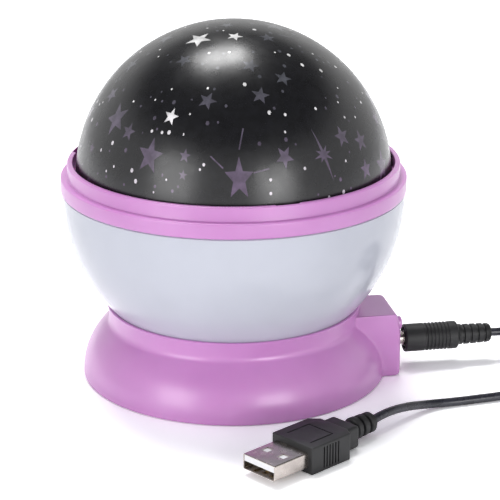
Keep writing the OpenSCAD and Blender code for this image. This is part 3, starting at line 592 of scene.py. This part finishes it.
def box_side(radius, half, face, side, flat, fillet_r):
    """Points from the skin round one side of the box to its face, seen from above."""
    wall = BOX_Y + side * half
    reach = face - math.sqrt(radius ** 2 - wall ** 2)
    fillet = min(fillet_r, 0.5 * reach)         # together they leave a straight stretch of wall
    corner = min(CORNER_R, 0.45 * reach)
    middle_y = wall + side * fillet
    middle_x = math.sqrt((radius + fillet) ** 2 - middle_y ** 2)
    skin_turn = math.degrees(math.atan2(-middle_y, -middle_x)) % 360
    wall_turn = 270 if side > 0 else 90
    points = arc((middle_x, middle_y), fillet, skin_turn, wall_turn, FILLET_STEPS)
    end_x = face - corner
    points += [(middle_x + (end_x - middle_x) * i / WALL_STEPS, wall)
               for i in range(1, WALL_STEPS)]
    points += arc((end_x, wall - side * corner), corner, 90 * side, 0, CORNER_STEPS)
    if flat:
        points = [(math.sqrt(radius ** 2 - y ** 2), y) for _, y in points]
    return points


def base_outline(z, wall=0.0, box_wall=0.0, flat=False, radius=None):
    """The base's outline at a height. A flat one stays round where the control box would be."""
    draw = 0.0 if flat or wall else crisp_draw(z)
    radius = (radius or skin_radius(z)) - wall - (draw if z < BELLY_Z else 0.0)
    half = BOX_W / 2 - box_wall - draw
    face = face_depth(z) - box_wall
    blend = min(1.0, max(0.0, (BOX_TOP - z) / FILLET_RISE))
    fillet_r = TOP_FILLET_R + (FILLET_R - TOP_FILLET_R) * blend
    far_side = box_side(radius, half, face, 1, flat, fillet_r)
    near_side = box_side(radius, half, face, -1, flat, fillet_r)
    far_y, near_y = far_side[-1][1], near_side[-1][1]
    front = [(face, far_y + (near_y - far_y) * i / FACE_STEPS) for i in range(1, FACE_STEPS)]
    if flat:
        front = [(math.sqrt(radius ** 2 - y ** 2), y) for _, y in front]
    start = math.degrees(math.atan2(far_side[0][1], far_side[0][0]))
    end = math.degrees(math.atan2(near_side[0][1], near_side[0][0]))
    around = arc((0, 0), radius, end, start - 360, SKIN_STEPS)[1:-1]
    return [(x, y, z) for x, y in far_side + front + near_side[::-1] + around]


def make_base_shell():
    """One lofted skin: foot, belly with its box, sweep and neck, rim, dust lip and the inside."""
    foot = [RIM_Z + CRISP_R * (1 - math.cos(math.radians(t))) for t in (0, 30, 60, 90)]
    foot += [RIM_Z + FOOT_EDGE * (1 - math.cos(math.radians(t))) for t in (54, 63, 72, 81, 90)]
    edge_low = BOX_TOP - BOX_EDGE * 0.4         # from here on, steps round the box's top edge
    walls = [foot[-1] + (JOIN_Z - foot[-1]) * i / 30 for i in range(1, 30)]
    walls += [JOIN_Z + (edge_low - JOIN_Z) * i / 14 for i in range(14)]
    edge = [BOX_TOP - BOX_EDGE * (1 - math.sin(math.radians(t)))
            for t in (36, 45, 54, 63, 72, 81, 90)]
    outlines = [base_outline(z) for z in foot + walls + edge]
    neck = [BOX_TOP + (SEAM_Z - CRISP_R - BOX_TOP) * i / 8 for i in range(9)]
    outlines += [base_outline(z, flat=True) for z in neck]
    rim = arc((COLLAR_R - CRISP_R, SEAM_Z - CRISP_R), CRISP_R, 30, 90, 3) + DUST_LIP
    outlines += [base_outline(z, flat=True, radius=r) for r, z in rim]
    inner_top = BOX_TOP - BASE_WALL
    outlines.append(base_outline(inner_top, BASE_WALL, BOX_WALL, flat=True))
    outlines += [base_outline(inner_top + (RIM_Z - inner_top) * i / 20, BASE_WALL, BOX_WALL)
                 for i in range(21)]
    bm = bmesh.new()
    loft(bm, outlines)
    close_shape(bm)
    shell = finish_piece(bm, "base_housing", "base", [PINK], ["base_shell"],
                         SHELL_SHARP)
    holes = bmesh.new()
    sockets = [(BUTTON_R + BUTTON_GAP, button_y(i), BUTTON_Z) for i in range(3)]
    for radius, y, z in sockets + [(JACK_R, BOX_Y, JACK_Z)]:
        made = bmesh.ops.create_cone(holes, cap_ends=True, segments=48, radius1=radius,
                                     radius2=radius, depth=SOCKET_DEPTH)["verts"]
        bmesh.ops.rotate(holes, cent=(0, 0, 0), matrix=Matrix.Rotation(math.pi / 2, 3, "Y"),
                         verts=made)
        bmesh.ops.translate(holes, vec=(FACE_X, y, z), verts=made)
    cut_piece(shell, holes, SHELL_SHARP)


def button_y(index):
    """Place across the box's face of a button, from the near one on."""
    return BOX_Y + (index - 1) * BUTTON_PITCH


make_base_shell()


PLATE_X = 43.8           # near side of the plate that stops a button behind the face
STEM_X = 39.6            # inner end of its stem
STEM_R = 0.9
BORE_R = 0.2             # fine bore that a spun solid keeps along its middle


def make_key(name, body, index, proud):
    """A push button: its crowned cap, the plate that stops it behind the face, and its stem."""
    y = button_y(index)
    tip = face_depth(BUTTON_Z) + proud
    cap_r = BUTTON_R - BUTTON_GAP
    cap = [(PLATE_X, BORE_R), (PLATE_X, cap_r)] + arc((tip - 0.6, cap_r - 0.5), 0.5, 90, 20, 5)
    stem = [(STEM_X, BORE_R), (STEM_X, STEM_R), (PLATE_X, STEM_R), (PLATE_X, BORE_R)]
    bm = bmesh.new()
    spin_along_x(bm, cap + [(tip, BORE_R)], y, BUTTON_Z, 48)
    spin_along_x(bm, stem, y, BUTTON_Z, 24)
    block(bm, (PLATE_X + 0.5, y, BUTTON_Z - 0.4), (1, 3.9, 4.4), 0.15, 2)
    close_shape(bm)
    finish_piece(bm, name + "_cap", body, [PINK], [name])


make_key("light_button", "light_key", 0, 1.24)
make_key("colour_button", "colour_key", 1, 0.4)
make_key("spin_button", "spin_key", 2, 0.4)


# ---------------------------------------------------------------- bowl and bezel ring
def make_bowl():
    """The bowl's wall, with its rim under the ring's ledge and the floor that it turns on."""
    floor_z, hub_top, hub_low = 19.8, 21.6, 18
    hub_r, bore_r, edge = 12.6, 9.06, 0.3
    rim_r, rim_in_r = 48.4, 46.6
    low = math.degrees(math.asin((floor_z - BOWL_Z) / BOWL_R))
    inner_low = math.degrees(math.asin((floor_z + BOWL_WALL - BOWL_Z) / (BOWL_R - BOWL_WALL)))
    profile = arc((0, BOWL_Z), BOWL_R, low, 0.6, 48)
    profile += [(rim_r, 57.2), (rim_r, BOWL_TOP), (rim_in_r, BOWL_TOP), (rim_in_r, 56.1)]
    profile += arc((0, BOWL_Z), BOWL_R - BOWL_WALL, -3, inner_low, 40)
    profile += [(hub_r, hub_top), (hub_r - edge, hub_top), (9.4, hub_top), (bore_r, hub_top - edge),
                (bore_r, 18.2), (9.3, hub_low), (hub_r - edge, hub_low), (hub_r, hub_low + edge),
                (hub_r, floor_z)]
    bm = bmesh.new()
    spin_upright(bm, profile, 240)
    close_shape(bm)
    finish_piece(bm, "milky_bowl", "head", [MILKY], ["bowl"], 30)


make_bowl()


def make_bezel_ring():
    """Skirt, step, lip and the ledge that the dome stands on, with a notch for each key."""
    edge, fine, step = 0.55, 0.3, 0.25
    profile = [(SKIRT_IN_R, RING_Z)]
    profile += arc((RING_R - edge, RING_Z + edge), edge, -90, 0, 5)
    profile += arc((RING_R - edge, SKIRT_TOP - edge), edge, 0, 84, 6)
    profile += [(LIP_R + 0.35, SKIRT_TOP + 0.02)]
    profile += arc((LIP_R + step, SKIRT_TOP + 0.02 + step), step, 270, 180, 3)
    profile += arc((LIP_R - edge, LIP_TOP - edge), edge, 0, 90, 6)
    profile += arc((LIP_IN_R + fine, LIP_TOP - fine), fine, 90, 180, 4)
    profile += [(LIP_IN_R, SEAT_Z + 1.5), (LIP_IN_R, SEAT_Z), (LEDGE_IN_R, SEAT_Z),
                (LEDGE_IN_R, BOWL_TOP), (SKIRT_IN_R, BOWL_TOP)]
    bm = bmesh.new()
    spin_upright(bm, profile, 720)
    half = (KEY_W / 2 + NOTCH_SIDE_GAP) / LIP_IN_R
    notch_r = KEY_OUT_R + NOTCH_END_GAP
    for azimuth in NOTCH_AZIMUTHS:
        middle = math.radians(azimuth)
        for v in bm.verts:
            radius = math.hypot(v.co.x, v.co.y)
            off = (math.atan2(v.co.y, v.co.x) - middle + math.pi) % FULL_TURN - math.pi
            if abs(off) < half and v.co.z > SEAT_Z - 0.01 and LIP_IN_R - 0.05 < radius < notch_r:
                v.co.x *= notch_r / radius
                v.co.y *= notch_r / radius
    close_shape(bm)
    finish_piece(bm, "bezel", "head", [PINK], ["bezel_ring"], 30)


make_bezel_ring()


# ---------------------------------------------------------------- star dome
# Each star: azimuth and elevation on the dome in degrees, its radius in millimetres, how far its
# first point is turned from straight up, how much it is stretched upright, and whether it is lit,
# that is, whether its window is painted near white as painted light.
FRONT_STARS = [
    (-140, 71, 3.9, 5, 1.0, True), (-98, 75, 2.4, 25, 1.0, True), (-127, 36, 2.3, 10, 1.15, True),
    (-58, 72, 2.5, 30, 1.0, False), (-7, 75, 4.0, 20, 1.0, False), (-128, 85, 2.1, 10, 1.0, False),
    (178, 65, 2.9, 40, 1.0, False), (-135, 59, 2.5, 20, 1.0, False),
    (-89, 58, 2.6, 25, 1.0, False), (-72, 51, 2.6, 175, 1.0, False),
    (-112, 43, 2.7, 20, 1.05, False), (-87, 45, 2.7, 18, 1.05, False),
    (-155, 31, 4.3, 190, 1.2, False), (-145, 28, 2.5, 5, 1.1, False),
    (-118, 23, 1.7, 5, 1.2, False), (-118, 16.5, 1.3, 5, 1.2, False), (-98, 16, 4.1, 0, 1.5, False),
    (-13, 32, 4.0, 15, 1.1, False), (-23, 26, 2.6, 5, 1.1, False), (-44, 22.5, 2.8, 0, 1.15, False),
    (-45, 12.5, 2.7, 0, 1.2, False), (-32, 10.5, 4.2, 10, 1.2, False),
    (-132, 21.5, 4.2, 3, 1.25, False), (-81, 22.5, 2.7, 180, 1.25, False),
    (-54, 26, 2.8, -5, 1.15, False),
]
# Streaks: azimuth, elevation, length and tilt from upright.
STREAKS = [(-106, 21.5, 4.8, -48), (-97, 29.5, 6.0, 12), (-90, 18.5, 4.4, 78), (-33, 70, 4.0, -40),
           (64, 27, 5.0, 30), (120, 44, 4.4, -60), (12, 51, 4.6, 15), (165, 22, 5.2, -20)]
STREAK_W = 0.4
# The burst: its azimuth and elevation, its first ray's turn from straight up, the rays' lengths,
# and the radius to which the gaps between them reach in.
BURST = (-65, 21.5)
BURST_TURN = -14
BURST_RAYS = [8.0, 2.9, 2.6, 3.2, 8.0, 2.4, 3.4, 2.8]
BURST_GAP_R = 1.15
BACK_STARS = 34
BACK_AZIMUTHS = (-12, 202)
BACK_RISES = (0.12, 0.97)        # sines of their elevations
BACK_RADII = (1.6, 2.4, 2.7, 2.7, 4.1)
BACK_STRETCHES = (1, 1.2)
BACK_LIT = 0.12          # share of them that are lit, their windows painted near white as painted light
BACK_ROOM = 2.5          # least room between one of them and the next window
DOTS = 330
DOT_RISES = (0.09, 0.995)
DOT_RADII = (0.28, 0.34, 0.42, 0.55)
DOT_STRETCH = 1.25
# Share of the dots that are lit, their windows painted near white as painted light.
DOT_LIT = 0.4
DOT_ROOM = 0.7
STAR_WAIST = 0.42        # inner radius of a star, as a share of its outer one
CLEAR, LIT = 1, 2        # places in the dome's list, after the print, of the windows' painted view of the dim inside and of their painted light
CUT_ROOM = 0.9           # how far past an outline's corners its cuts reach
DRAW_SEED = 7


def dome_frame(azimuth, elevation):
    """Outward, sideways and upward directions at a place on the dome."""
    out = direction(azimuth, elevation)
    side = Vector((-math.sin(math.radians(azimuth)), math.cos(math.radians(azimuth)), 0))
    return out, side, out.cross(side)


def star_outline(radius, turn, stretch):
    """Corners of a five-pointed star round the origin, as (sideways, upward) in millimetres."""
    corners = []
    for i in range(10):
        angle = math.radians(90 - turn + 36 * i)
        reach = radius if i % 2 == 0 else radius * STAR_WAIST
        corners.append((reach * math.cos(angle), reach * math.sin(angle) * stretch))
    return corners


def burst_outline():
    """Corners of a burst with rays of different lengths."""
    corners = []
    for i, reach in enumerate(BURST_RAYS):
        for step, radius in ((i, reach), (i + 0.5, BURST_GAP_R)):
            angle = math.radians(90 - BURST_TURN - 360 * step / len(BURST_RAYS))
            corners.append((radius * math.cos(angle), radius * math.sin(angle)))
    return corners


def cut_window(bm, centre, azimuth, elevation, corners, lit=False):
    """Cuts an outline into the dome's skin by planes through its centre, and marks its inside with
    painted light where lit, else with the painted view of the dim inside.
    """
    out, side, rise = dome_frame(azimuth, elevation)
    reach = max(math.hypot(x, y) for x, y in corners) + CUT_ROOM
    near = math.cos(math.atan(reach / DOME_R))
    places = [centre + (out * DOME_R + side * x + rise * y) for x, y in corners]
    faces = [f for f in bm.faces if (f.calc_center_median() - centre).normalized().dot(out) > near]
    for a, b in pairs(places):
        plane = (a - centre).cross(b - centre).normalized()
        geometry = set(faces)
        for f in faces:
            geometry.update(f.edges)
            geometry.update(f.verts)
        made = bmesh.ops.bisect_plane(bm, geom=list(geometry), dist=0.0005, plane_co=centre,
                                      plane_no=plane)
        faces = list(set(of_kind(made["geom"], bmesh.types.BMFace)))
    for f in faces:
        ray = (f.calc_center_median() - centre).normalized()
        if ray.dot(out) <= near:
            continue
        ray *= DOME_R / ray.dot(out)
        if inside((ray.dot(side), ray.dot(rise)), corners):
            f.material_index = LIT if lit else CLEAR


def inside(point, corners):
    """Whether a point lies in a closed outline."""
    x, y = point
    hit = False
    for (ax, ay), (bx, by) in pairs(corners):
        if (ay > y) != (by > y) and x < ax + (y - ay) / (by - ay) * (bx - ax):
            hit = not hit
    return hit


def make_dome():
    """A clear shell printed black all over but for its star windows, with drop-in keys."""
    draw = random.Random(DRAW_SEED)
    centre = Vector((0, 0, DOME_Z))
    bm = bmesh.new()
    bmesh.ops.create_uvsphere(bm, u_segments=120, v_segments=80, radius=DOME_R)
    bmesh.ops.translate(bm, vec=centre, verts=bm.verts)
    bmesh.ops.bisect_plane(bm, geom=bm.verts[:] + bm.edges[:] + bm.faces[:], dist=0.001,
                           plane_co=(0, 0, SEAT_Z), plane_no=UP, clear_inner=True)
    taken = []
    for azimuth, elevation, radius, turn, stretch, lit in FRONT_STARS:
        corners = star_outline(radius, turn, stretch)
        cut_window(bm, centre, azimuth, elevation, corners, lit)
        taken.append((direction(azimuth, elevation), radius * stretch))
    cut_window(bm, centre, *BURST, burst_outline())
    taken.append((direction(*BURST), 5))
    for azimuth, elevation, length, tilt in STREAKS:
        lean = math.radians(tilt)
        along = Vector((math.sin(lean), math.cos(lean))) * length / 2
        across = Vector((along.y, -along.x)).normalized() * STREAK_W / 2
        corners = [tuple(s * along + t * across) for s, t in ((1, 1), (1, -1), (-1, -1), (-1, 1))]
        cut_window(bm, centre, azimuth, elevation, corners)
        taken.append((direction(azimuth, elevation), length / 2))
    placed = 0
    while placed < BACK_STARS:
        azimuth, rise = draw.uniform(*BACK_AZIMUTHS), draw.uniform(*BACK_RISES)
        elevation = math.degrees(math.asin(rise))
        radius = draw.choice(BACK_RADII)
        turn, stretch = draw.uniform(0, 360), draw.uniform(*BACK_STRETCHES)
        if free_place(azimuth, elevation, radius * stretch, taken, BACK_ROOM):
            corners = star_outline(radius, turn, stretch)
            cut_window(bm, centre, azimuth, elevation, corners, draw.random() < BACK_LIT)
            placed += 1
    placed = 0
    while placed < DOTS:
        azimuth, rise = draw.uniform(0, 360), draw.uniform(*DOT_RISES)
        elevation = math.degrees(math.asin(rise))
        radius = draw.choice(DOT_RADII)
        if free_place(azimuth, elevation, radius, taken, DOT_ROOM):
            turns = [FULL_TURN * i / 6 for i in range(6)]
            corners = [(radius * math.cos(t), radius * DOT_STRETCH * math.sin(t)) for t in turns]
            cut_window(bm, centre, azimuth, elevation, corners, draw.random() < DOT_LIT)
            placed += 1
    for v in bm.verts:
        v.co = centre + (v.co - centre).normalized() * DOME_R
    bmesh.ops.remove_doubles(bm, verts=bm.verts, dist=0.001)
    rim = [e for e in bm.edges if e.is_boundary]
    made = bmesh.ops.duplicate(bm, geom=bm.verts[:] + bm.edges[:] + bm.faces[:])["geom"]
    for v in of_kind(made, bmesh.types.BMVert):
        v.co = centre + (v.co - centre).normalized() * (DOME_R - DOME_WALL)
        v.co.z = max(v.co.z, SEAT_Z)
    bmesh.ops.reverse_faces(bm, faces=of_kind(made, bmesh.types.BMFace))
    outer_rim = set(rim)
    inner_rim = [e for e in bm.edges if e.is_boundary and e not in outer_rim]
    bmesh.ops.bridge_loops(bm, edges=rim + inner_rim)
    # One key for each notch of the ring, but none is turned to it: all stand at azimuth 0.
    depth = KEY_OUT_R - DOME_R + 0.6
    for _ in NOTCH_AZIMUTHS:
        block(bm, (KEY_OUT_R - depth / 2, 0, SEAT_Z + KEY_H / 2), (depth, KEY_W, KEY_H), 0.25, 2)
    finish_piece(bm, "printed_dome", "dome", [PRINT, PAINTED_VIEW_WINDOW, PAINTED_LIGHT_WINDOW],
                 ["star_dome"], 50)


def free_place(azimuth, elevation, radius, taken, margin):
    """Whether nothing cut so far is near a place; if so, the place is taken."""
    out = direction(azimuth, elevation)
    for other, size in taken:
        if out.angle(other) * DOME_R < radius + size + margin:
            return False
    taken.append((out, radius))
    return True


make_dome()


# ---------------------------------------------------------------- power plug
def make_power_plug():
    """Moulded grip with fine grooves, a shoulder, and a ribbed tail down to the cable."""
    grip_r, grip_len, tail_r = 4.2, 16.4, 3.1
    profile = [(0, 1.8), (0, 2.4), (0.7, 2.6), (0.7, 3.2), (0, 3.4)]
    profile += arc((0.4, grip_r - 0.4), 0.4, 180, 90, 4)
    for i in range(7):
        middle = 6.4 + 1.13 * i
        profile += [(middle - 0.38, grip_r), (middle - 0.2, grip_r - 0.3),
                    (middle + 0.2, grip_r - 0.3), (middle + 0.38, grip_r)]
    profile += arc((grip_len - 0.7, grip_r - 0.7), 0.7, 90, 10, 5)
    profile += [(grip_len + 0.25, tail_r + 0.2), (grip_len + 0.6, tail_r)]
    for i in range(4):
        start = grip_len + 1.5 + 2.2 * i
        outer = tail_r - 0.05 * i
        profile += [(start - 0.12, outer), (start, outer - 0.55), (start + 0.6, outer - 0.55),
                    (start + 0.72, outer - 0.02)]
    profile += [(26.3, 2.78), (26.8, 2.45), (27.1, 1.7), (27.1, 0.4)]
    bm = bmesh.new()
    spin_along_x(bm, [(PLUG_X + x, r) for x, r in profile], BOX_Y, JACK_Z)
    close_shape(bm)
    return finish_piece(bm, "power_plug_grip", "lead", [MOULDING], ["dc_plug_body"])


def make_plug_barrel():
    """Nickel sleeve of the plug, with a bead where it meets the moulding, and its bore."""
    sleeve_r, bore_r, bead = 1.75, 0.75, 0.35
    profile = [(-9.5, bore_r), (-9.5, sleeve_r - 0.35), (-9.15, sleeve_r), (-3.1, sleeve_r),
               (-0.6, sleeve_r), (-0.5, sleeve_r + bead), (-0.05, sleeve_r + bead),
               (0.02, sleeve_r), (1.5, sleeve_r), (1.5, bore_r)]
    bm = bmesh.new()
    spin_along_x(bm, [(PLUG_X + x, r) for x, r in profile], BOX_Y, JACK_Z)
    close_shape(bm)
    return finish_piece(bm, "power_plug_barrel", "lead", [NICKEL],
                        ["dc_plug_barrel"])


power_plug = make_power_plug()
plug_barrel = make_plug_barrel()


# ---------------------------------------------------------------- USB plug
# Each shape is made along +X from the plug's mouth, then laid on the plug's place.
def make_usb_body():
    """Overmould with side grips and a pressed three-sided outline on its top."""
    half = USB_BODY_W / 2
    x0 = USB_SHELL_LEN
    x1 = x0 + USB_BODY_LEN
    bm = bmesh.new()
    slab(bm, [(x0, -half), (x1, -half), (x1 + 1.6, -5), (x1 + 1.6, 5), (x1 - 1, half), (x0, half)],
         0, USB_BODY_H)
    bmesh.ops.bevel(bm, geom=bm.edges[:], offset=0.35, affect="EDGES", segments=3, profile=0.5,
                    material=-1)
    lay(bm, USB_ANGLE, USB_PLACE)
    body = finish_piece(bm, "usb_overmould", "lead", [MOULDING], ["usb_plug_body"])
    cutter = bmesh.new()
    line, deep = 0.4, 0.25
    outer, inner = half - 3, half - 3 - line
    start, end = x0 + 2.6, x1 - 3.5
    slab(cutter, [(start, -outer), (end, -outer), (end, outer), (start, outer), (start, inner),
                  (end - line, inner), (end - line, -inner), (start, -inner)],
         USB_BODY_H - deep, USB_BODY_H + 1)
    for i in range(6):
        for side in (-1, 1):
            block(cutter, (x0 + 4.6 + 1.1 * i, side * half, USB_MID_Z),
                  (0.45, 0.7, USB_BODY_H - 1.6))
    lay(cutter, USB_ANGLE, USB_PLACE)
    return cut_piece(body, cutter)


def make_usb_boot():
    """Neck and ringed boot behind the overmould."""
    x0 = USB_SHELL_LEN + USB_BODY_LEN
    x1 = x0 + USB_NECK_LEN
    bm = bmesh.new()
    block(bm, (x0 + USB_NECK_LEN / 2 - 0.5, 0, USB_MID_Z), (USB_NECK_LEN + 1, 10, 6.6), 1.0, 4)
    profile = [(x1 - 1.5, 0.4), (x1 - 1.5, 2.5), (x1 + 1.9, 2.3)]
    for i in range(3):
        start = x1 + 2.1 + 2.75 * i
        ring = 3.2 - 0.12 * i
        profile += [(start, ring - 0.25), (start + 0.25, ring), (start + 1.55, ring),
                    (start + 1.8, ring - 0.25), (start + 1.95, 2.2), (start + 2.6, 2.15)]
    profile += [(x1 + 9.95, 1.9), (x1 + 9.95, 0.4)]
    spin_along_x(bm, profile, 0, USB_MID_Z, 48)
    close_shape(bm)
    lay(bm, USB_ANGLE, USB_PLACE)
    return finish_piece(bm, "usb_boot", "lead", [MOULDING])


def make_usb_metal():
    """Folded shell with a rolled mouth and its latch windows, two on top and two underneath."""
    outer = rounded_frame(USB_SHELL_W, USB_SHELL_H, 0.5)
    inner = rounded_frame(USB_SHELL_W - 2 * USB_SHELL_WALL, USB_SHELL_H - 2 * USB_SHELL_WALL, 0.25)
    far = USB_SHELL_LEN + 1
    # Distance from the mouth, the section there, and how far it is drawn in.
    rows = [(0.12, outer, 0), (0, outer, 0.12), (0, inner, -0.08), (0.12, inner, 0),
            (far, inner, 0), (far, outer, 0)]
    outlines = []
    for x, section, draw in rows:
        shrink = 1 - 2 * draw / USB_SHELL_W
        rise = 1 - 2 * draw / USB_SHELL_H
        outlines.append([(x, y * shrink, USB_MID_Z + z * rise) for y, z in section])
    bm = bmesh.new()
    loft(bm, outlines)
    close_shape(bm)
    lay(bm, USB_ANGLE, USB_PLACE)
    shell = finish_piece(bm, "usb_metal_shell", "lead", [NICKEL], ["usb_shell"])
    cutter = bmesh.new()
    for y in (-3, 3):
        for side in (-1, 1):
            block(cutter, (6.2, y, USB_MID_Z + side * USB_SHELL_H / 2), (2.4, 2.3, 1.2))
    lay(cutter, USB_ANGLE, USB_PLACE)
    return cut_piece(shell, cutter)


def rounded_frame(width, height, corner):
    """Corners of a rounded rectangle round the origin, counter-clockwise."""
    points = []
    for x, y, start in ((1, 1, 0), (-1, 1, 90), (-1, -1, 180), (1, -1, 270)):
        centre = (x * (width / 2 - corner), y * (height / 2 - corner))
        points += arc(centre, corner, start, start + 90, 5)
    return points


def make_tie():
    """A band round the coiled part of the lead, with its folded end on the outside."""
    middle_r, middle_z, width = 14, 3.78, 4
    band = bmesh.new()
    block(band, (middle_r, 0, middle_z), (7.8, width, 7.5), 1.5, 6)
    block(band, (middle_r + 3.9, 0, middle_z + 0.6), (1.1, 2.6, 3.4), 0.4, 3)
    cutter = bmesh.new()
    block(cutter, (middle_r, 0, middle_z), (7.1, width + 2, 6.8), 1.2, 6)
    for part in (band, cutter):
        lay(part, TIE_AZIMUTH, (*COIL_PLACE, 0))
    tie = finish_piece(band, "coil_tie", "lead", [MOULDING])
    return cut_piece(tie, cutter)


usb_pieces = [make_usb_body(), make_usb_boot(), make_usb_metal()]
usb_pieces += [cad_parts["usb_tongue"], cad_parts["usb_contacts"]]

[power_plug, plug_barrel, make_tie()] + usb_pieces


# ---------------------------------------------------------------- light, floor and background
FLOOR_HALF = 3000        # half the floor's side, in millimetres
FLOOR_TONE = (0.72, 0.72, 0.73, 1)
FLOOR_SEEN = (1.5, 1.5, 1.5, 1)
AMBIENT_TONE = (0.95, 0.96, 1.0, 1)
AMBIENT_STRENGTH = 0.42
# The backdrop's strength falls from the first to the second between two heights of its direction.
BACKDROP_STRENGTHS = (1.0, 0.12)
BACKDROP_HEIGHTS = (0.4, 0.6)
LAMP_AIM = Vector((0, 0, 0.05))  # in metres


def make_floor():
    """Matt white sheet that shows brighter to the camera and in gloss, and keeps the shadow."""
    bm = bmesh.new()
    bmesh.ops.create_grid(bm, x_segments=1, y_segments=1, size=FLOOR_HALF)
    floor = add_object("floor", to_mesh(bm, "floor"))
    made, tree, shader = start_material("white_paper")
    tone = add_node(tree, "ShaderNodeMix", {"Factor": background_seen(tree)}, data_type="RGBA")
    tone.inputs["A"].default_value = FLOOR_TONE
    tone.inputs["B"].default_value = FLOOR_SEEN
    diffuse = add_node(tree, "ShaderNodeBsdfDiffuse", {"Color": tone.outputs["Result"]})
    tree.links.new(diffuse.outputs["BSDF"], tree.nodes["Material Output"].inputs["Surface"])
    tree.nodes.remove(shader)
    floor.data.materials.append(made)


def background_seen(tree):
    """1 for rays from the camera, and for those off gloss and through glass, else 0."""
    path = add_node(tree, "ShaderNodeLightPath")
    seen = add_node(tree, "ShaderNodeMath", {0: path.outputs["Is Camera Ray"],
                                             1: path.outputs["Is Glossy Ray"]}, operation="MAXIMUM")
    return add_node(tree, "ShaderNodeMath", {0: seen.outputs[0],
                                             1: path.outputs["Is Transmission Ray"]},
                    operation="MAXIMUM").outputs[0]


def make_world():
    """A soft even light, and a white backdrop that only the camera, gloss and glass see."""
    world = bpy.data.worlds.new("studio")
    bpy.context.scene.world = world
    world.use_nodes = True
    tree = world.node_tree
    ambient = tree.nodes["Background"]
    ambient.inputs["Color"].default_value = AMBIENT_TONE
    ambient.inputs["Strength"].default_value = AMBIENT_STRENGTH
    towards = add_node(tree, "ShaderNodeTexCoord").outputs["Generated"]
    height = add_node(tree, "ShaderNodeSeparateXYZ", {"Vector": towards}).outputs["Z"]
    level = add_node(tree, "ShaderNodeMapRange",
                     {"Value": height, "From Min": BACKDROP_HEIGHTS[0],
                      "From Max": BACKDROP_HEIGHTS[1], "To Min": BACKDROP_STRENGTHS[0],
                      "To Max": BACKDROP_STRENGTHS[1]})
    backdrop = add_node(tree, "ShaderNodeBackground", {"Color": (1, 1, 1, 1),
                                                       "Strength": level.outputs[0]})
    mix = add_node(tree, "ShaderNodeMixShader", {0: background_seen(tree), 1: ambient.outputs[0],
                                                 2: backdrop.outputs[0]})
    tree.links.new(mix.outputs[0], tree.nodes["World Output"].inputs["Surface"])


def softbox(name, azimuth, elevation, distance, width, height, power):
    """A rectangular lamp that faces the object from a direction in degrees, in metres and watts."""
    lamp = bpy.data.lights.new(name, "AREA")
    lamp.shape = "RECTANGLE"
    lamp.size = width
    lamp.size_y = height
    lamp.energy = power
    holder = add_object(name, lamp)
    towards = direction(azimuth, elevation)
    holder.location = towards * distance + LAMP_AIM
    holder.rotation_euler = towards.to_track_quat("Z", "Y").to_euler()


make_floor()
make_world()
softbox("softbox_left", -144, 12, 2.0, 1.0, 1.0, 15.5)
softbox("softbox_right", -70, 9, 2.0, 0.8, 0.8, 14.5)
softbox("softbox_top", 95, 68, 2.0, 0.8, 0.6, 27)
bpy.context.scene.view_settings.view_transform = "Standard"
